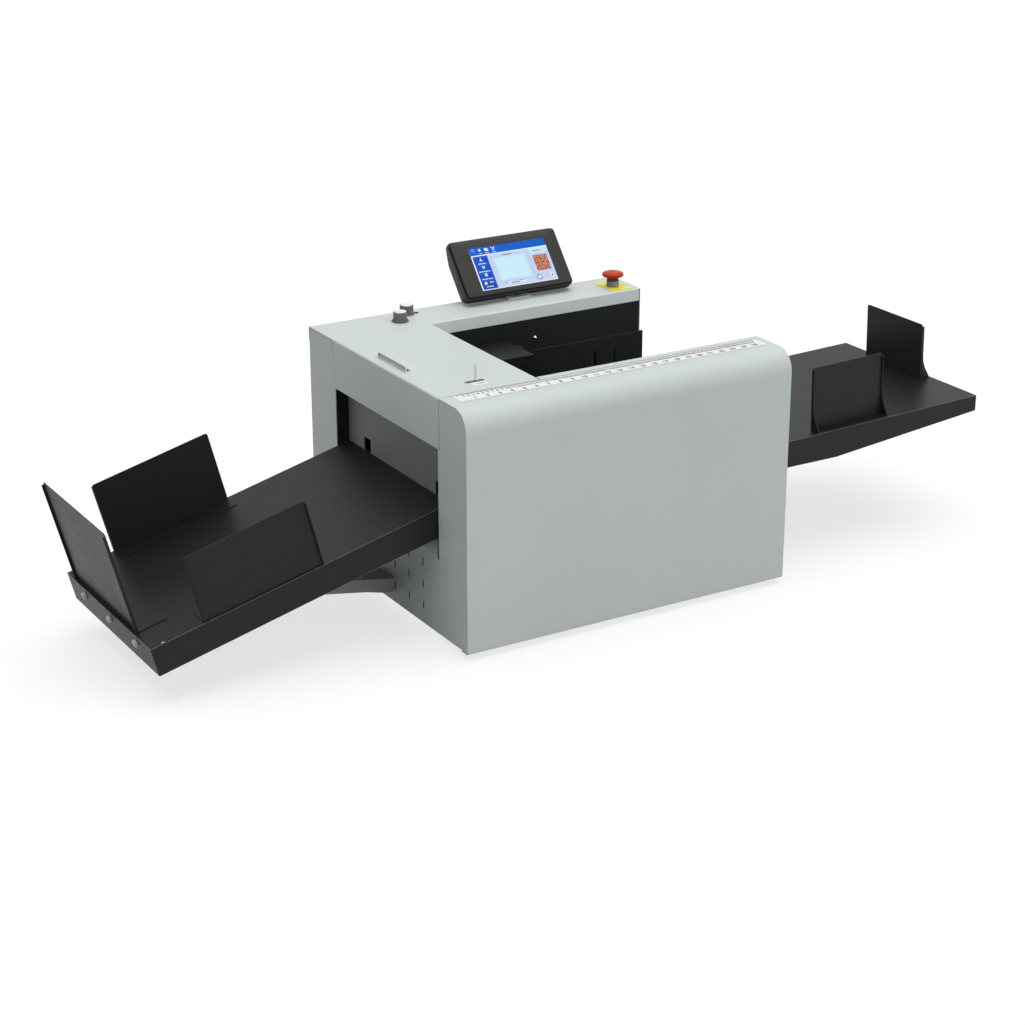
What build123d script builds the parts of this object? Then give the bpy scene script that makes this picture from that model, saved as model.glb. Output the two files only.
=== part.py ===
from build123d import *
import os
from math import atan, cos, pi, radians, sin, tan

# Desktop paper creasing machine.
#
# All sizes are in millimetres and degrees. The model is drawn in the machine's own frame:
# x runs along the paper path from the delivery end to the feed end, y from the operator's
# side to the back, and z up from the bottom edge of the covers. At the end every piece is
# moved once, so that the origin lies under the middle of the whole machine, at the level
# of its feet.

# ---------------------------------------------------------------- driving dimensions
# Body and covers
body_length = 706.0
body_height = 460.0
foot_height = 12.0
cover_sheet = 2.0
panel_sheet = 1.5
panel_recess = 1.0
front_depth = 117.0
rear_depth = 103.0
rear_cover_end = 4.0
top_edge_radius = 40.0
bend_radius = 3.0
cover_lip = 27.0
cover_return = 22.0
pan_wall = 18.0
foot_inset = 50.0
foot_radius = 19.0
foot_taper = 8.0

# Hinged hood at the delivery end
hood_overhang = 19.0
hood_ledge = 98.0
hood_gap = 1.0
hood_hinge_gap = 1.5
hood_flap_drop = 96.0
hood_return = 18.0
hood_flap_bend = 4.0
hood_end_bend = 2.0
hood_pin_inset = 5.0
hood_pin_drop = 4.5
hood_pin_radius = 2.4

# Paper path
paper_drop = 110.0
sheet_path_width = 398.0
roller_pitch_radius = 15.0
nip_gap = 0.4
wall_to_outfeed = 30.0
outfeed_to_crease = 70.0
crease_to_infeed = 64.0
shaft_radius = 5.0
running_clearance = 0.05
tyre_count = 5
tyre_length = 34.0
tyre_margin = 8.0

# Gears, pulleys and motors
gear_module = 1.5
gear_teeth = 20
gear_width = 8.0
gear_backlash = 0.25
gear_gap = 3.0
pulley_radius = 13.0
pulley_width = 10.0
belt_thickness = 1.6
belt_clearance = 0.3
motor_drop = 114.0
motor_radius = 28.0
motor_length = 62.0

# Creasing tools
beam_width = 24.0
beam_height = 26.0
beam_tongue = 12.0
beam_slot_clearance = 0.3
beam_end_gap = 4.0
beam_recess = 8.0
blade_thickness = 1.2
blade_root = 8.0
blade_reach = 17.0
blade_rest_gap = 5.5
crease_stroke = 5.0
cam_base_radius = 16.0
cam_swing = 120.0
cam_overrun = 16.0
cam_fall_end = 345.0
cam_width = 9.0
cam_inset = 22.0
cam_shaft_radius = 7.0
cam_wheel_radius = 11.0
cam_clearance = 0.15
matrix_height = 28.0
matrix_groove = 1.8
matrix_groove_depth = 1.2

# Side frames
frame_thickness = 4.0
frame_start = 5.0
frame_rise = 78.0
frame_corner = 6.0
frame_step = 20.0
frame_beyond_drum = 15.0
bearing_radius = 11.0
bearing_width = 7.0
tie_bar_radius = 7.0
hinge_beam_size = (18.0, 14.0)
hinge_beam_setback = 11.0
hinge_beam_drop = 12.0

# Delivery end panel
exit_drop = 96.6
vent_width = 5.0
vent_height = 16.0
vent_pitch_y = 55.0
vent_pitch_z = 43.0
vent_first_y = 166.0
vent_first_z = 38.0
vent_columns = 6
vent_rows = 3

# Delivery tray with its wall and strut
delivery_slope = 14.5
delivery_root_drop = 103.4
delivery_run = 561.0
delivery_inner_x = 28.0
tray_gap = 1.0
tray_skirt = 55.0
tray_sheet = 1.5
tray_corner = 3.0
strut_width = 60.0
strut_drop = 25.0
strut_angle = 9.5
strut_root = 50.6
strut_wall = 2.0
strut_pad = 50.0
strut_flat = 20.0
wall_foot_drop = 110.0
wall_drop = 6.0
notch_width = 26.0
notch_height = 40.0
notches_at = (42.0, 322.0)

# Stops and side guides
guide_sheet = 1.5
guide_rim = 6.0
guide_corner = 5.0
guide_seat = 0.3
delivery_guide_length = 240.0
delivery_guide_foot = 40.0
near_guide_height = 130.0
near_guide_start = 105.0
near_guide_inset = 6.0
far_guide_height = 142.0
far_guide_start = 96.0
far_guide_inset = 5.0
stop_width = 295.0
stop_height = 200.0
stop_foot = 55.0
stop_inset = 10.0
stop_side_inset = 73.0

# Feed bed with its extension tray
feed_slope = 1.6
feed_root_drop = 109.8
feed_reach = 546.0
feed_from_hood = 42.0
feed_inner_gap = 4.0
feed_far_gap = 2.0
feed_near_overhang = 37.0
feed_far_overhang = 3.0
feed_step_gap = 8.0
feed_skirt_depth = 52.2
feed_skirt_kink = 179.0
feed_end_skirt = 32.6
feed_lift = 100.0
feed_guide_length = 174.0
feed_guide_height = 128.0
feed_guide_foot = 26.0
feed_guide_start = 134.0
feed_guide_inset = 28.0
feed_stop_width = 178.0
feed_stop_height = 118.0
feed_stop_foot = 24.0
feed_stop_inset = 27.0
feed_stop_side_inset = 144.0
flare_share = 0.42

# Throat linings and feed head
side_lay_depth = 3.0
side_lay_overhang = 5.0
side_lay_rise = 19.0
throat_drop = 14.0
lift_slot_width = 6.0
lift_slots_from_end = (111.0, 65.0)
lift_arm_rise = 20.0
lift_arm_height = 26.0
lift_arm_width = 4.0
slot_spare = 21.0
head_setback = 19.5
head_length = 148.0
head_width = 112.0
head_rise = 50.0
head_clearance = 7.0
head_nose_reach = 11.0
head_nose_step = 4.0
head_ledge_length = 56.0
head_ledge_width = 14.0
drum_inset = 95.0
drum_radius = 21.0
drum_length = 96.0
drum_drop = 29.0
drum_holes = 6
drum_hole_radius = 2.5
drum_hole_depth = 13.5
plunger_reach = 66.0
plunger_drop = 4.0
plunger_radius = 3.0
plunger_ball = 4.5
plunger_travel = 6.0
plunger_tail = 14.0

# Controls on the rear top cover
near_knob_from = (168.5, 41.7)
far_knob_from = (202.3, 77.5)
knob_radius = 13.5
knob_flange_radius = 15.5
knob_height = 19.0
knob_flutes = 18
stop_button_from = (44.0, 38.0)
stop_button_radius = 20.5
stop_button_rise = 15.0
stop_button_stem = 8.0
stop_button_travel = 4.0
stop_plate_size = (45.0, 70.5)
stop_plate_thickness = 0.8
collar_radius = 15.0
collar_height = 12.0
collar_neck = 11.0
display_width = 248.0
display_height = 126.0
display_depth = 22.0
display_tilt = 40.0
display_from_end = 378.0
display_setback = 50.0
display_rise = 19.0
display_chamfer = 15.0
bezel_depth = 8.0
bezel_step = 1.5
screen_left = 38.0
screen_width = 177.0
screen_low = 12.0
screen_height = 94.0
glass_depth = 1.2
hinge_radius = 6.0
hinge_pin_radius = 3.0
hinge_behind = 31.0
hinge_up = 14.0
knuckle_half = 8.0
stand_half = 27.0
stand_plate = 3.0

# Ruler, mains inlet and switch
ruler_start = 25.0
ruler_end_gap = 16.0
ruler_width = 40.0
ruler_thickness = 0.8
inlet_from_end = 86.0
inlet_z = 70.0
inlet_size = (48.0, 28.0)
inlet_socket = (24.0, 16.5)
switch_from_end = 146.0
switch_size = (22.0, 30.0)
rocker_tilt = 9.0
rear_vent_slots = 12

# ---------------------------------------------------------------- derived places
frame_near_in = hood_ledge + 10.0
frame_far_in = frame_near_in + sheet_path_width
frame_near_out = frame_near_in - frame_thickness
rear_front = frame_far_in + frame_thickness
body_depth = rear_front + rear_depth
paper_level = body_height - paper_drop
outfeed_x = delivery_inner_x + wall_to_outfeed
crease_x = outfeed_x + outfeed_to_crease
infeed_x = crease_x + crease_to_infeed
hood_length = infeed_x + hood_overhang
frame_top = paper_level + frame_rise
rear_length = body_length - rear_cover_end
lining_front_y = front_depth - cover_sheet
inner_end = body_length - panel_recess - panel_sheet
pan_floor = 2 * cover_sheet
pan_top = cover_sheet + pan_wall
lip_level = body_height - cover_lip
flap_level = body_height - hood_flap_drop
lower_axis = paper_level - roller_pitch_radius
upper_axis = paper_level + roller_pitch_radius
nip_roller_radius = roller_pitch_radius - nip_gap
hood_far = rear_front - hood_hinge_gap
hood_near = hood_ledge + hood_gap
hood_pin_x = hood_length - hood_pin_inset
hood_pin_z = body_height - hood_pin_drop
lining_start = hood_length + hood_hinge_gap
cam_rise = crease_stroke / radians(cam_swing)
cam_lead = atan(cam_rise / cam_base_radius)
cam_reach = (cam_base_radius + cam_rise * cam_lead) * cos(cam_lead)
beam_bottom = paper_level + blade_rest_gap + blade_reach
beam_top = beam_bottom + beam_height
cam_axis = beam_top + cam_clearance + cam_reach
delivery_root_level = paper_level - delivery_root_drop
exit_bottom = delivery_root_level - exit_drop
feed_root_level = paper_level - feed_root_drop
feed_skirt_level = feed_root_level - feed_skirt_depth
feed_inner_x = hood_length + feed_from_hood
feed_run = body_length + feed_reach
throat_floor = feed_skirt_level - throat_drop
side_lay_top = paper_level + side_lay_rise
side_lay_front = rear_front - side_lay_depth
delivery_near = frame_near_in + tray_gap
tray_width = sheet_path_width - 2 * tray_gap
feed_step_x = body_length + feed_step_gap
feed_inner_near = front_depth + feed_inner_gap
feed_inner_far = side_lay_front - feed_far_gap
feed_near = feed_inner_near - feed_near_overhang
feed_far = feed_inner_far + feed_far_overhang
head_left = lining_start + head_setback
head_right = head_left + head_length
head_top = paper_level + head_rise
head_bottom = paper_level + head_clearance
head_near = side_lay_front - head_width
drum_x = head_right - drum_inset
drum_z = head_top - drum_drop
frame_end = drum_x + frame_beyond_drum
lift_slot_x = [body_length - slot_from_end for slot_from_end in lift_slots_from_end]
display_left = body_length - display_from_end
near_knob_at = (near_knob_from[0], rear_front + near_knob_from[1])
far_knob_at = (far_knob_from[0], rear_front + far_knob_from[1])
stop_button_at = (body_length - stop_button_from[0], rear_front + stop_button_from[1])
inlet_x = body_length - inlet_from_end
switch_x = body_length - switch_from_end

pieces = []


# ---------------------------------------------------------------- helpers
def keep(builder, name):
    """Label a finished piece and put it on the list of pieces to write."""
    builder.part.label = name
    pieces.append(builder.part)


def block(x, y, z, mode=Mode.ADD):
    """A box between two limits on each axis, in the part being built."""
    with Locations(((x[0] + x[1]) / 2, (y[0] + y[1]) / 2, (z[0] + z[1]) / 2)):
        Box(x[1] - x[0], y[1] - y[0], z[1] - z[0], mode=mode)


def rod_y(x, z, radius, y, mode=Mode.ADD):
    """A round bar along y."""
    with BuildSketch(Plane.XZ.offset(-y[0])) as section:
        with Locations((x, z)):
            Circle(radius)
    extrude(section.sketch, amount=y[0] - y[1], mode=mode)


def rod_z(x, y, radius, z, mode=Mode.ADD):
    """A round bar along z."""
    with BuildSketch(Plane.XY.offset(z[0])) as section:
        with Locations((x, y)):
            Circle(radius)
    extrude(section.sketch, amount=z[1] - z[0], mode=mode)


def rod_x(y, z, radius, x, mode=Mode.ADD):
    """A round bar along x."""
    with BuildSketch(Plane.YZ.offset(x[0])) as section:
        with Locations((y, z)):
            Circle(radius)
    extrude(section.sketch, amount=x[1] - x[0], mode=mode)


def bent_sheet_x(points, radii, sheet, x):
    """A folded sheet whose section in the yz plane follows the given points."""
    with BuildSketch(Plane.YZ.offset(x[0])) as section:
        with BuildLine():
            FilletPolyline(*points, radius=radii)
        trace(line_width=sheet)
    extrude(section.sketch, amount=x[1] - x[0])


# ---------------------------------------------------------------- covers
def front_cover_section():
    """Centre line of the front cover's folded sheet, from its bottom return to its rear lip."""
    inner = cover_sheet / 2
    return [
        (cover_return, inner),
        (inner, inner),
        (inner, body_height - inner),
        (front_depth - inner, body_height - inner),
        (front_depth - inner, body_height - cover_lip),
    ]


with BuildPart() as front_cover:
    bent_sheet_x(
        front_cover_section(),
        [bend_radius, top_edge_radius, bend_radius],
        cover_sheet,
        (0, body_length),
    )
    block(
        (-1, hood_length + hood_hinge_gap),
        (hood_ledge, front_depth + 1),
        (body_height - cover_lip - 1, body_height + 1),
        mode=Mode.SUBTRACT,
    )
keep(front_cover, "front_cover")


def end_panel_outline():
    """Outline of an end panel that fits inside the bends of the covers."""
    low = cover_sheet
    high = body_height - cover_sheet
    far = body_depth - cover_sheet
    with BuildLine() as outline:
        Polyline(
            (low + top_edge_radius, high),
            (far - bend_radius, high),
            (far, high - bend_radius),
            (far, low),
            (low + bend_radius, low),
            (low, low + bend_radius),
            (low, high - top_edge_radius),
        )
        RadiusArc((low, high - top_edge_radius), (low + top_edge_radius, high), top_edge_radius)
    make_face(outline.edges())


def cut_window(y, z):
    """Cut a rectangle out of a sketch in the yz plane."""
    with Locations(((y[0] + y[1]) / 2, (z[0] + z[1]) / 2)):
        Rectangle(y[1] - y[0], z[1] - z[0], mode=Mode.SUBTRACT)


with BuildPart() as left_end_panel:
    with BuildSketch(Plane.YZ.offset(panel_recess)):
        end_panel_outline()
        cut_window((frame_near_out, frame_far_in), (exit_bottom, body_height))
        cut_window((hood_ledge, rear_front), (flap_level - hood_gap, body_height))
        cut_window(
            (rear_front - 1, rear_front + cover_sheet + bend_radius),
            (lip_level - hood_gap, body_height),
        )
        vents_y = vent_first_y + vent_pitch_y * (vent_columns - 1) / 2
        vents_z = vent_first_z + vent_pitch_z * (vent_rows - 1) / 2
        with Locations((vents_y, vents_z)):
            with GridLocations(vent_pitch_y, vent_pitch_z, vent_columns, vent_rows):
                Rectangle(vent_width, vent_height, mode=Mode.SUBTRACT)
    extrude(amount=panel_sheet)
keep(left_end_panel, "left_end_panel")

with BuildPart() as right_end_panel:
    with BuildSketch(Plane.YZ.offset(body_length - panel_recess - panel_sheet)):
        end_panel_outline()
        cut_window((lining_front_y, rear_front), (throat_floor, body_height))
        cut_window(
            (lining_front_y - bend_radius, lining_front_y + 1),
            (body_height - cover_sheet - bend_radius, body_height),
        )
    extrude(amount=panel_sheet)
keep(right_end_panel, "right_end_panel")

with BuildPart() as rear_top_cover:
    inner = cover_sheet / 2
    bent_sheet_x(
        [
            (rear_front + inner, body_height - cover_lip),
            (rear_front + inner, body_height - inner),
            (body_depth - inner, body_height - inner),
            (body_depth - inner, body_height - cover_lip),
        ],
        [bend_radius, bend_radius],
        cover_sheet,
        (0, rear_length),
    )
    hole_span = (lip_level, body_height + 1)
    for knob_at in (near_knob_at, far_knob_at):
        rod_z(*knob_at, shaft_radius, hole_span, Mode.SUBTRACT)
    rod_z(*stop_button_at, collar_neck, hole_span, Mode.SUBTRACT)
keep(rear_top_cover, "rear_top_cover")

with BuildPart() as rear_panel:
    with BuildSketch(Plane.XZ.offset(-(body_depth - panel_sheet))):
        low = cover_sheet
        with Locations((rear_length / 2, (low + lip_level) / 2)):
            Rectangle(rear_length - 2 * panel_recess, lip_level - low)
        with Locations((inlet_x, inlet_z)):
            Rectangle(*inlet_size, mode=Mode.SUBTRACT)
        with Locations((switch_x, inlet_z)):
            Rectangle(*switch_size, mode=Mode.SUBTRACT)
        with Locations((rear_length / 3, body_height / 4)):
            with GridLocations(3 * vent_width, 0, rear_vent_slots, 1):
                Rectangle(vent_width, 4 * vent_height, mode=Mode.SUBTRACT)
    extrude(amount=-panel_sheet)
keep(rear_panel, "rear_panel")

pan_x = (panel_recess + panel_sheet, inner_end)
pan_y = (cover_sheet + bend_radius, body_depth - cover_sheet)

with BuildPart() as base_pan:
    block(pan_x, pan_y, (cover_sheet, pan_top))
    offset(amount=-cover_sheet, openings=faces().sort_by(Axis.Z)[-1:])
keep(base_pan, "base_pan")

with BuildPart() as rubber_feet:
    with BuildSketch(Plane.XY.offset(cover_sheet)):
        with Locations((body_length / 2, body_depth / 2)):
            with GridLocations(body_length - 2 * foot_inset, body_depth - 2 * foot_inset, 2, 2):
                Circle(foot_radius)
    extrude(amount=-(foot_height + cover_sheet), taper=foot_taper)
keep(rubber_feet, "rubber_feet")


# ---------------------------------------------------------------- side frames
lever_offset = 13.0
lever_lift = 20.5
lever_pivot_x = (outfeed_x + crease_x) / 2 + lever_offset
lever_pivot_z = beam_bottom + lever_lift
lever_shaft_radius = 4.0
tie_bar_level = 70.0
tie_bar_drop = 45.0
tie_bar_inset = 27.0
tie_bar_offset = 8.0
tie_bars_at = (
    (frame_start + tie_bar_inset, tie_bar_level),
    (infeed_x + tie_bar_offset, tie_bar_level),
    (infeed_x + tie_bar_offset, lower_axis - tie_bar_drop),
)
hinge_beam_start = hood_length + hinge_beam_setback
hinge_beam_x = (hinge_beam_start, hinge_beam_start + hinge_beam_size[0])
hinge_beam_low = frame_top - hinge_beam_drop
hinge_beam_z = (hinge_beam_low, hinge_beam_low + hinge_beam_size[1])
motor_axis = (crease_x, paper_level - motor_drop)
roller_axes = (
    (outfeed_x, lower_axis),
    (outfeed_x, upper_axis),
    (infeed_x, lower_axis),
    (infeed_x, upper_axis),
)


def side_frame_outline():
    """Side plate in the xz plane, with its bearing seats and the guide slot of the beam."""
    with BuildLine() as outline:
        FilletPolyline(
            (frame_start, pan_floor),
            (frame_end, pan_floor),
            (frame_end, drum_z + frame_step),
            (hinge_beam_x[1] + frame_step, hinge_beam_z[0]),
            (hinge_beam_x[0] - 2 * frame_step, hinge_beam_z[0]),
            (hinge_beam_x[0] - 2 * frame_step - hinge_beam_drop, frame_top),
            (frame_start, frame_top),
            radius=frame_corner,
            close=True,
        )
    make_face(outline.edges())
    with Locations(*roller_axes):
        Circle(bearing_radius, mode=Mode.SUBTRACT)
    with Locations((crease_x, cam_axis)):
        Circle(cam_shaft_radius + running_clearance, mode=Mode.SUBTRACT)
    slot_low = beam_bottom - crease_stroke - 2
    with Locations((crease_x, (slot_low + beam_top) / 2)):
        Rectangle(beam_tongue + 2 * beam_slot_clearance, beam_top - slot_low, mode=Mode.SUBTRACT)


def side_frame(y, with_lever):
    """One side frame; the near one also carries the adjusting lever's shaft."""
    with BuildPart() as frame:
        with BuildSketch(Plane.XZ.offset(-y)):
            side_frame_outline()
            if with_lever:
                with Locations((lever_pivot_x, lever_pivot_z)):
                    Circle(lever_shaft_radius + running_clearance, mode=Mode.SUBTRACT)
            else:
                with Locations((drum_x, drum_z), motor_axis):
                    Circle(shaft_radius + running_clearance, mode=Mode.SUBTRACT)
        extrude(amount=-frame_thickness)
    return frame


near_side_frame = side_frame(frame_near_out, True)
keep(near_side_frame, "near_side_frame")
far_side_frame = side_frame(frame_far_in, False)
keep(far_side_frame, "far_side_frame")

with BuildPart() as tie_bars:
    for bar_x, bar_z in tie_bars_at:
        rod_y(bar_x, bar_z, tie_bar_radius, (frame_near_in, frame_far_in))
keep(tie_bars, "tie_bars")

with BuildPart() as shaft_bearings:
    for axis_x, axis_z in roller_axes:
        for bearing_y in (frame_near_out, frame_far_in):
            low = bearing_y + (frame_thickness - bearing_width) / 2
            rod_y(axis_x, axis_z, bearing_radius, (low, low + bearing_width))
            rod_y(
                axis_x,
                axis_z,
                shaft_radius + running_clearance,
                (low - 1, low + bearing_width + 1),
                Mode.SUBTRACT,
            )
keep(shaft_bearings, "shaft_bearings")


# ---------------------------------------------------------------- gears and rollers
def gear_sketch(x, z, phase):
    """Spur gear section: root disc with trapezoid teeth thinned by the backlash."""
    pitch = gear_module * gear_teeth / 2
    root = pitch - 1.15 * gear_module
    tip = pitch + gear_module
    half_pitch = gear_module * pi / 4 - gear_backlash / 2
    half_root = half_pitch + gear_module / 3
    half_tip = half_pitch - gear_module / 2.2
    with Locations((x, z)):
        Circle(root)
        with PolarLocations(0, gear_teeth, start_angle=phase):
            Polygon(
                (root - gear_module / 3, -half_root),
                (pitch, -half_pitch),
                (tip, -half_tip),
                (tip, half_tip),
                (pitch, half_pitch),
                (root - gear_module / 3, half_root),
                align=None,
            )


shaft_near = frame_near_out - gear_gap
gear_y = rear_front + gear_gap
gear_far = gear_y + gear_width
pulley_y = gear_far + gear_gap
shaft_far = pulley_y + pulley_width + gear_gap


def gear_blank(x, z, phase):
    """A gear fixed on its shaft behind the far side frame."""
    with BuildSketch(Plane.XZ.offset(-gear_y)) as section:
        gear_sketch(x, z, phase)
    extrude(section.sketch, amount=-gear_width)


def lower_shaft(x):
    """Driven shaft with its gear and its belt pulley."""
    with BuildPart() as shaft:
        rod_y(x, lower_axis, shaft_radius, (shaft_near, shaft_far))
        gear_blank(x, lower_axis, 90)
        rod_y(x, lower_axis, pulley_radius, (pulley_y, pulley_y + pulley_width))
    return shaft


def lower_tyres(x):
    """Rubber tyres in a row on a driven shaft."""
    pitch = (sheet_path_width - tyre_length - 2 * tyre_margin) / (tyre_count - 1)
    with BuildPart() as tyres:
        for index in range(tyre_count):
            start = frame_near_in + tyre_margin + index * pitch
            rod_y(x, lower_axis, roller_pitch_radius, (start, start + tyre_length))
        rod_y(x, lower_axis, shaft_radius, (frame_near_in, frame_far_in), Mode.SUBTRACT)
    return tyres


def upper_roller(x):
    """Steel nip roller turned down to its shaft ends, with its gear."""
    with BuildPart() as roller:
        rod_y(x, upper_axis, shaft_radius, (shaft_near, gear_far))
        roller_y = (frame_near_in + beam_end_gap, frame_far_in - beam_end_gap)
        rod_y(x, upper_axis, nip_roller_radius, roller_y)
        gear_blank(x, upper_axis, 90 + 180 / gear_teeth)
    return roller


infeed_lower_shaft = lower_shaft(infeed_x)
keep(infeed_lower_shaft, "infeed_lower_shaft")
infeed_lower_tyres = lower_tyres(infeed_x)
keep(infeed_lower_tyres, "infeed_lower_tyres")
infeed_upper_roller = upper_roller(infeed_x)
keep(infeed_upper_roller, "infeed_upper_roller")
outfeed_lower_shaft = lower_shaft(outfeed_x)
keep(outfeed_lower_shaft, "outfeed_lower_shaft")
outfeed_lower_tyres = lower_tyres(outfeed_x)
keep(outfeed_lower_tyres, "outfeed_lower_tyres")
outfeed_upper_roller = upper_roller(outfeed_x)
keep(outfeed_upper_roller, "outfeed_upper_roller")

belt_y = pulley_y + 1
belt_width = pulley_width - 2


def belt_hull(grow):
    """Region round the three pulleys, grown by the given amount."""
    places = [(infeed_x, lower_axis), (outfeed_x, lower_axis), motor_axis]
    with Locations(*places):
        Circle(pulley_radius + grow)
    make_hull()


with BuildPart() as drive_belt:
    with BuildSketch(Plane.XZ.offset(-belt_y)):
        belt_hull(belt_clearance + belt_thickness)
    extrude(amount=-belt_width)
    with BuildSketch(Plane.XZ.offset(-belt_y)):
        belt_hull(belt_clearance)
    extrude(amount=-belt_width, mode=Mode.SUBTRACT)
keep(drive_belt, "drive_belt")


# ---------------------------------------------------------------- creasing tools
with BuildPart() as creasing_matrix:
    top = paper_level - nip_gap
    block(
        (crease_x - beam_width / 2, crease_x + beam_width / 2),
        (frame_near_in, frame_far_in),
        (top - matrix_height, top),
    )
    block(
        (crease_x - matrix_groove / 2, crease_x + matrix_groove / 2),
        (frame_near_in, frame_far_in),
        (top - matrix_groove_depth, top + 1),
        mode=Mode.SUBTRACT,
    )
keep(creasing_matrix, "creasing_matrix")

with BuildPart() as creasing_beam:
    block(
        (crease_x - beam_width / 2, crease_x + beam_width / 2),
        (frame_near_in + beam_end_gap, frame_far_in - beam_end_gap),
        (beam_bottom, beam_top),
    )
    block(
        (crease_x - beam_tongue / 2, crease_x + beam_tongue / 2),
        (frame_near_out, rear_front),
        (beam_bottom, beam_top - 0.5),
    )
    with BuildSketch(Plane.XY.offset(beam_top)):
        with Locations((crease_x, (frame_near_in + frame_far_in) / 2)):
            SlotOverall(sheet_path_width - 6 * cam_inset, beam_width / 2, rotation=90)
    extrude(amount=-beam_recess, mode=Mode.SUBTRACT)
keep(creasing_beam, "creasing_beam")

with BuildPart() as creasing_blade:
    half = blade_thickness / 2
    blade_tip = beam_bottom - blade_reach
    root_low = beam_bottom - blade_root
    blade_start = frame_near_in + beam_end_gap + cover_sheet
    blade_end = frame_far_in - beam_end_gap - cover_sheet
    with BuildSketch(Plane.XZ.offset(-blade_start)):
        with BuildLine():
            Polyline(
                (crease_x - half, blade_tip + half),
                (crease_x - half, root_low - blade_root / 2),
                (crease_x - blade_root / 2, root_low),
                (crease_x - blade_root / 2, beam_bottom),
                (crease_x + blade_root / 2, beam_bottom),
                (crease_x + blade_root / 2, root_low),
                (crease_x + half, root_low - blade_root / 2),
                (crease_x + half, blade_tip + half),
            )
            ThreePointArc(
                (crease_x + half, blade_tip + half),
                (crease_x, blade_tip),
                (crease_x - half, blade_tip + half),
            )
        make_face()
    extrude(amount=blade_start - blade_end)
keep(creasing_blade, "creasing_blade")


def cam_radius(angle):
    """Radius of the cam at an angle from its lowest point: an even rise, then a fast fall."""
    rise_end = radians(cam_swing + cam_overrun)
    fall_end = radians(cam_fall_end)
    if angle <= rise_end:
        return cam_base_radius + cam_rise * angle
    share = min(1.0, (angle - rise_end) / (fall_end - rise_end))
    return cam_base_radius + cam_rise * rise_end * (1 - share) - cam_clearance * share


def cam_points(steps):
    """Points round the cam, measured from straight down and turning towards the feed end."""
    points = []
    for step in range(steps):
        angle = 2 * pi * step / steps
        reach = cam_radius(angle)
        points.append((crease_x + reach * sin(angle), cam_axis - reach * cos(angle)))
    return points


with BuildPart() as cam_shaft:
    rod_y(crease_x, cam_axis, cam_shaft_radius, (shaft_near, gear_far))
    for cam_y in (frame_near_in + cam_inset, frame_far_in - cam_inset - cam_width):
        with BuildSketch(Plane.XZ.offset(-cam_y)):
            with BuildLine():
                Polyline(*cam_points(48), close=True)
            make_face()
        extrude(amount=-cam_width)
    rod_y(crease_x, cam_axis, cam_wheel_radius, (gear_y, gear_far))
keep(cam_shaft, "cam_shaft")

deck_top = paper_level - 2 * nip_gap
deck_fold = 8.0
deck_gap = 6.0
deck_end = feed_inner_x - deck_gap
tyre_room = roller_pitch_radius + 2
matrix_room = beam_width / 2 + 1
deck_spans = (
    (outfeed_x + tyre_room, crease_x - matrix_room),
    (crease_x + matrix_room, infeed_x - tyre_room),
    (infeed_x + tyre_room, deck_end),
)

with BuildPart() as paper_deck:
    for span in deck_spans:
        deck_near = lining_front_y if span[1] > hood_length else frame_near_in
        block(span, (deck_near, frame_far_in), (deck_top - panel_sheet, deck_top))
        block(
            (span[0], span[0] + panel_sheet),
            (deck_near, frame_far_in),
            (deck_top - deck_fold, deck_top - panel_sheet),
        )
    block(
        (deck_end, deck_end + panel_sheet),
        (lining_front_y, frame_far_in),
        (pan_floor, deck_top),
    )
keep(paper_deck, "paper_deck")

motor_start = frame_far_in - motor_length
motor_shaft_start = frame_far_in - motor_length / 2
motor_cap = 6.0
motor_spacing = 76.0
second_motor_axis = (frame_start + motor_radius + motor_cap, motor_axis[1] - motor_spacing)

with BuildPart() as drive_motors:
    for axis in (motor_axis, second_motor_axis):
        rod_y(*axis, motor_radius, (motor_start, frame_far_in))
        rod_y(*axis, motor_radius - motor_cap, (motor_start - motor_cap, motor_start))
    rod_y(
        *motor_axis,
        shaft_radius + running_clearance,
        (motor_shaft_start - 1, frame_far_in + 1),
        Mode.SUBTRACT,
    )
keep(drive_motors, "drive_motors")

with BuildPart() as motor_pulley:
    rod_y(*motor_axis, shaft_radius, (motor_shaft_start, belt_y + belt_width + 2))
    rod_y(*motor_axis, pulley_radius, (belt_y - 1, belt_y + belt_width + 1))
keep(motor_pulley, "motor_pulley")


# ---------------------------------------------------------------- throat and feed head
lift_arm_bottom = throat_floor + lift_arm_rise
lift_arm_top = lift_arm_bottom + lift_arm_height
plunger_x = head_right + plunger_reach
plunger_z = head_top - plunger_drop

with BuildPart() as throat_near_lining:
    block(
        (lining_start, inner_end),
        (lining_front_y - panel_sheet, lining_front_y),
        (pan_top, lip_level + cover_lip / 4),
    )
    block(
        (hinge_beam_x[0] - 1, hinge_beam_x[1] + 1),
        (lining_front_y - panel_sheet - 1, lining_front_y + 1),
        (hinge_beam_z[0] - 1, hinge_beam_z[1] + 1),
        mode=Mode.SUBTRACT,
    )
keep(throat_near_lining, "throat_near_lining")


def lift_slots(depth):
    """Cut the upright slots in a throat lining, for the arms that carry the feed bed."""
    slot_z = (lift_arm_bottom - lift_arm_width, lift_arm_top + feed_lift + slot_spare)
    for slot_x in lift_slot_x:
        slot_span = (slot_x - lift_slot_width / 2, slot_x + lift_slot_width / 2)
        block(slot_span, depth, slot_z, mode=Mode.SUBTRACT)


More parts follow.
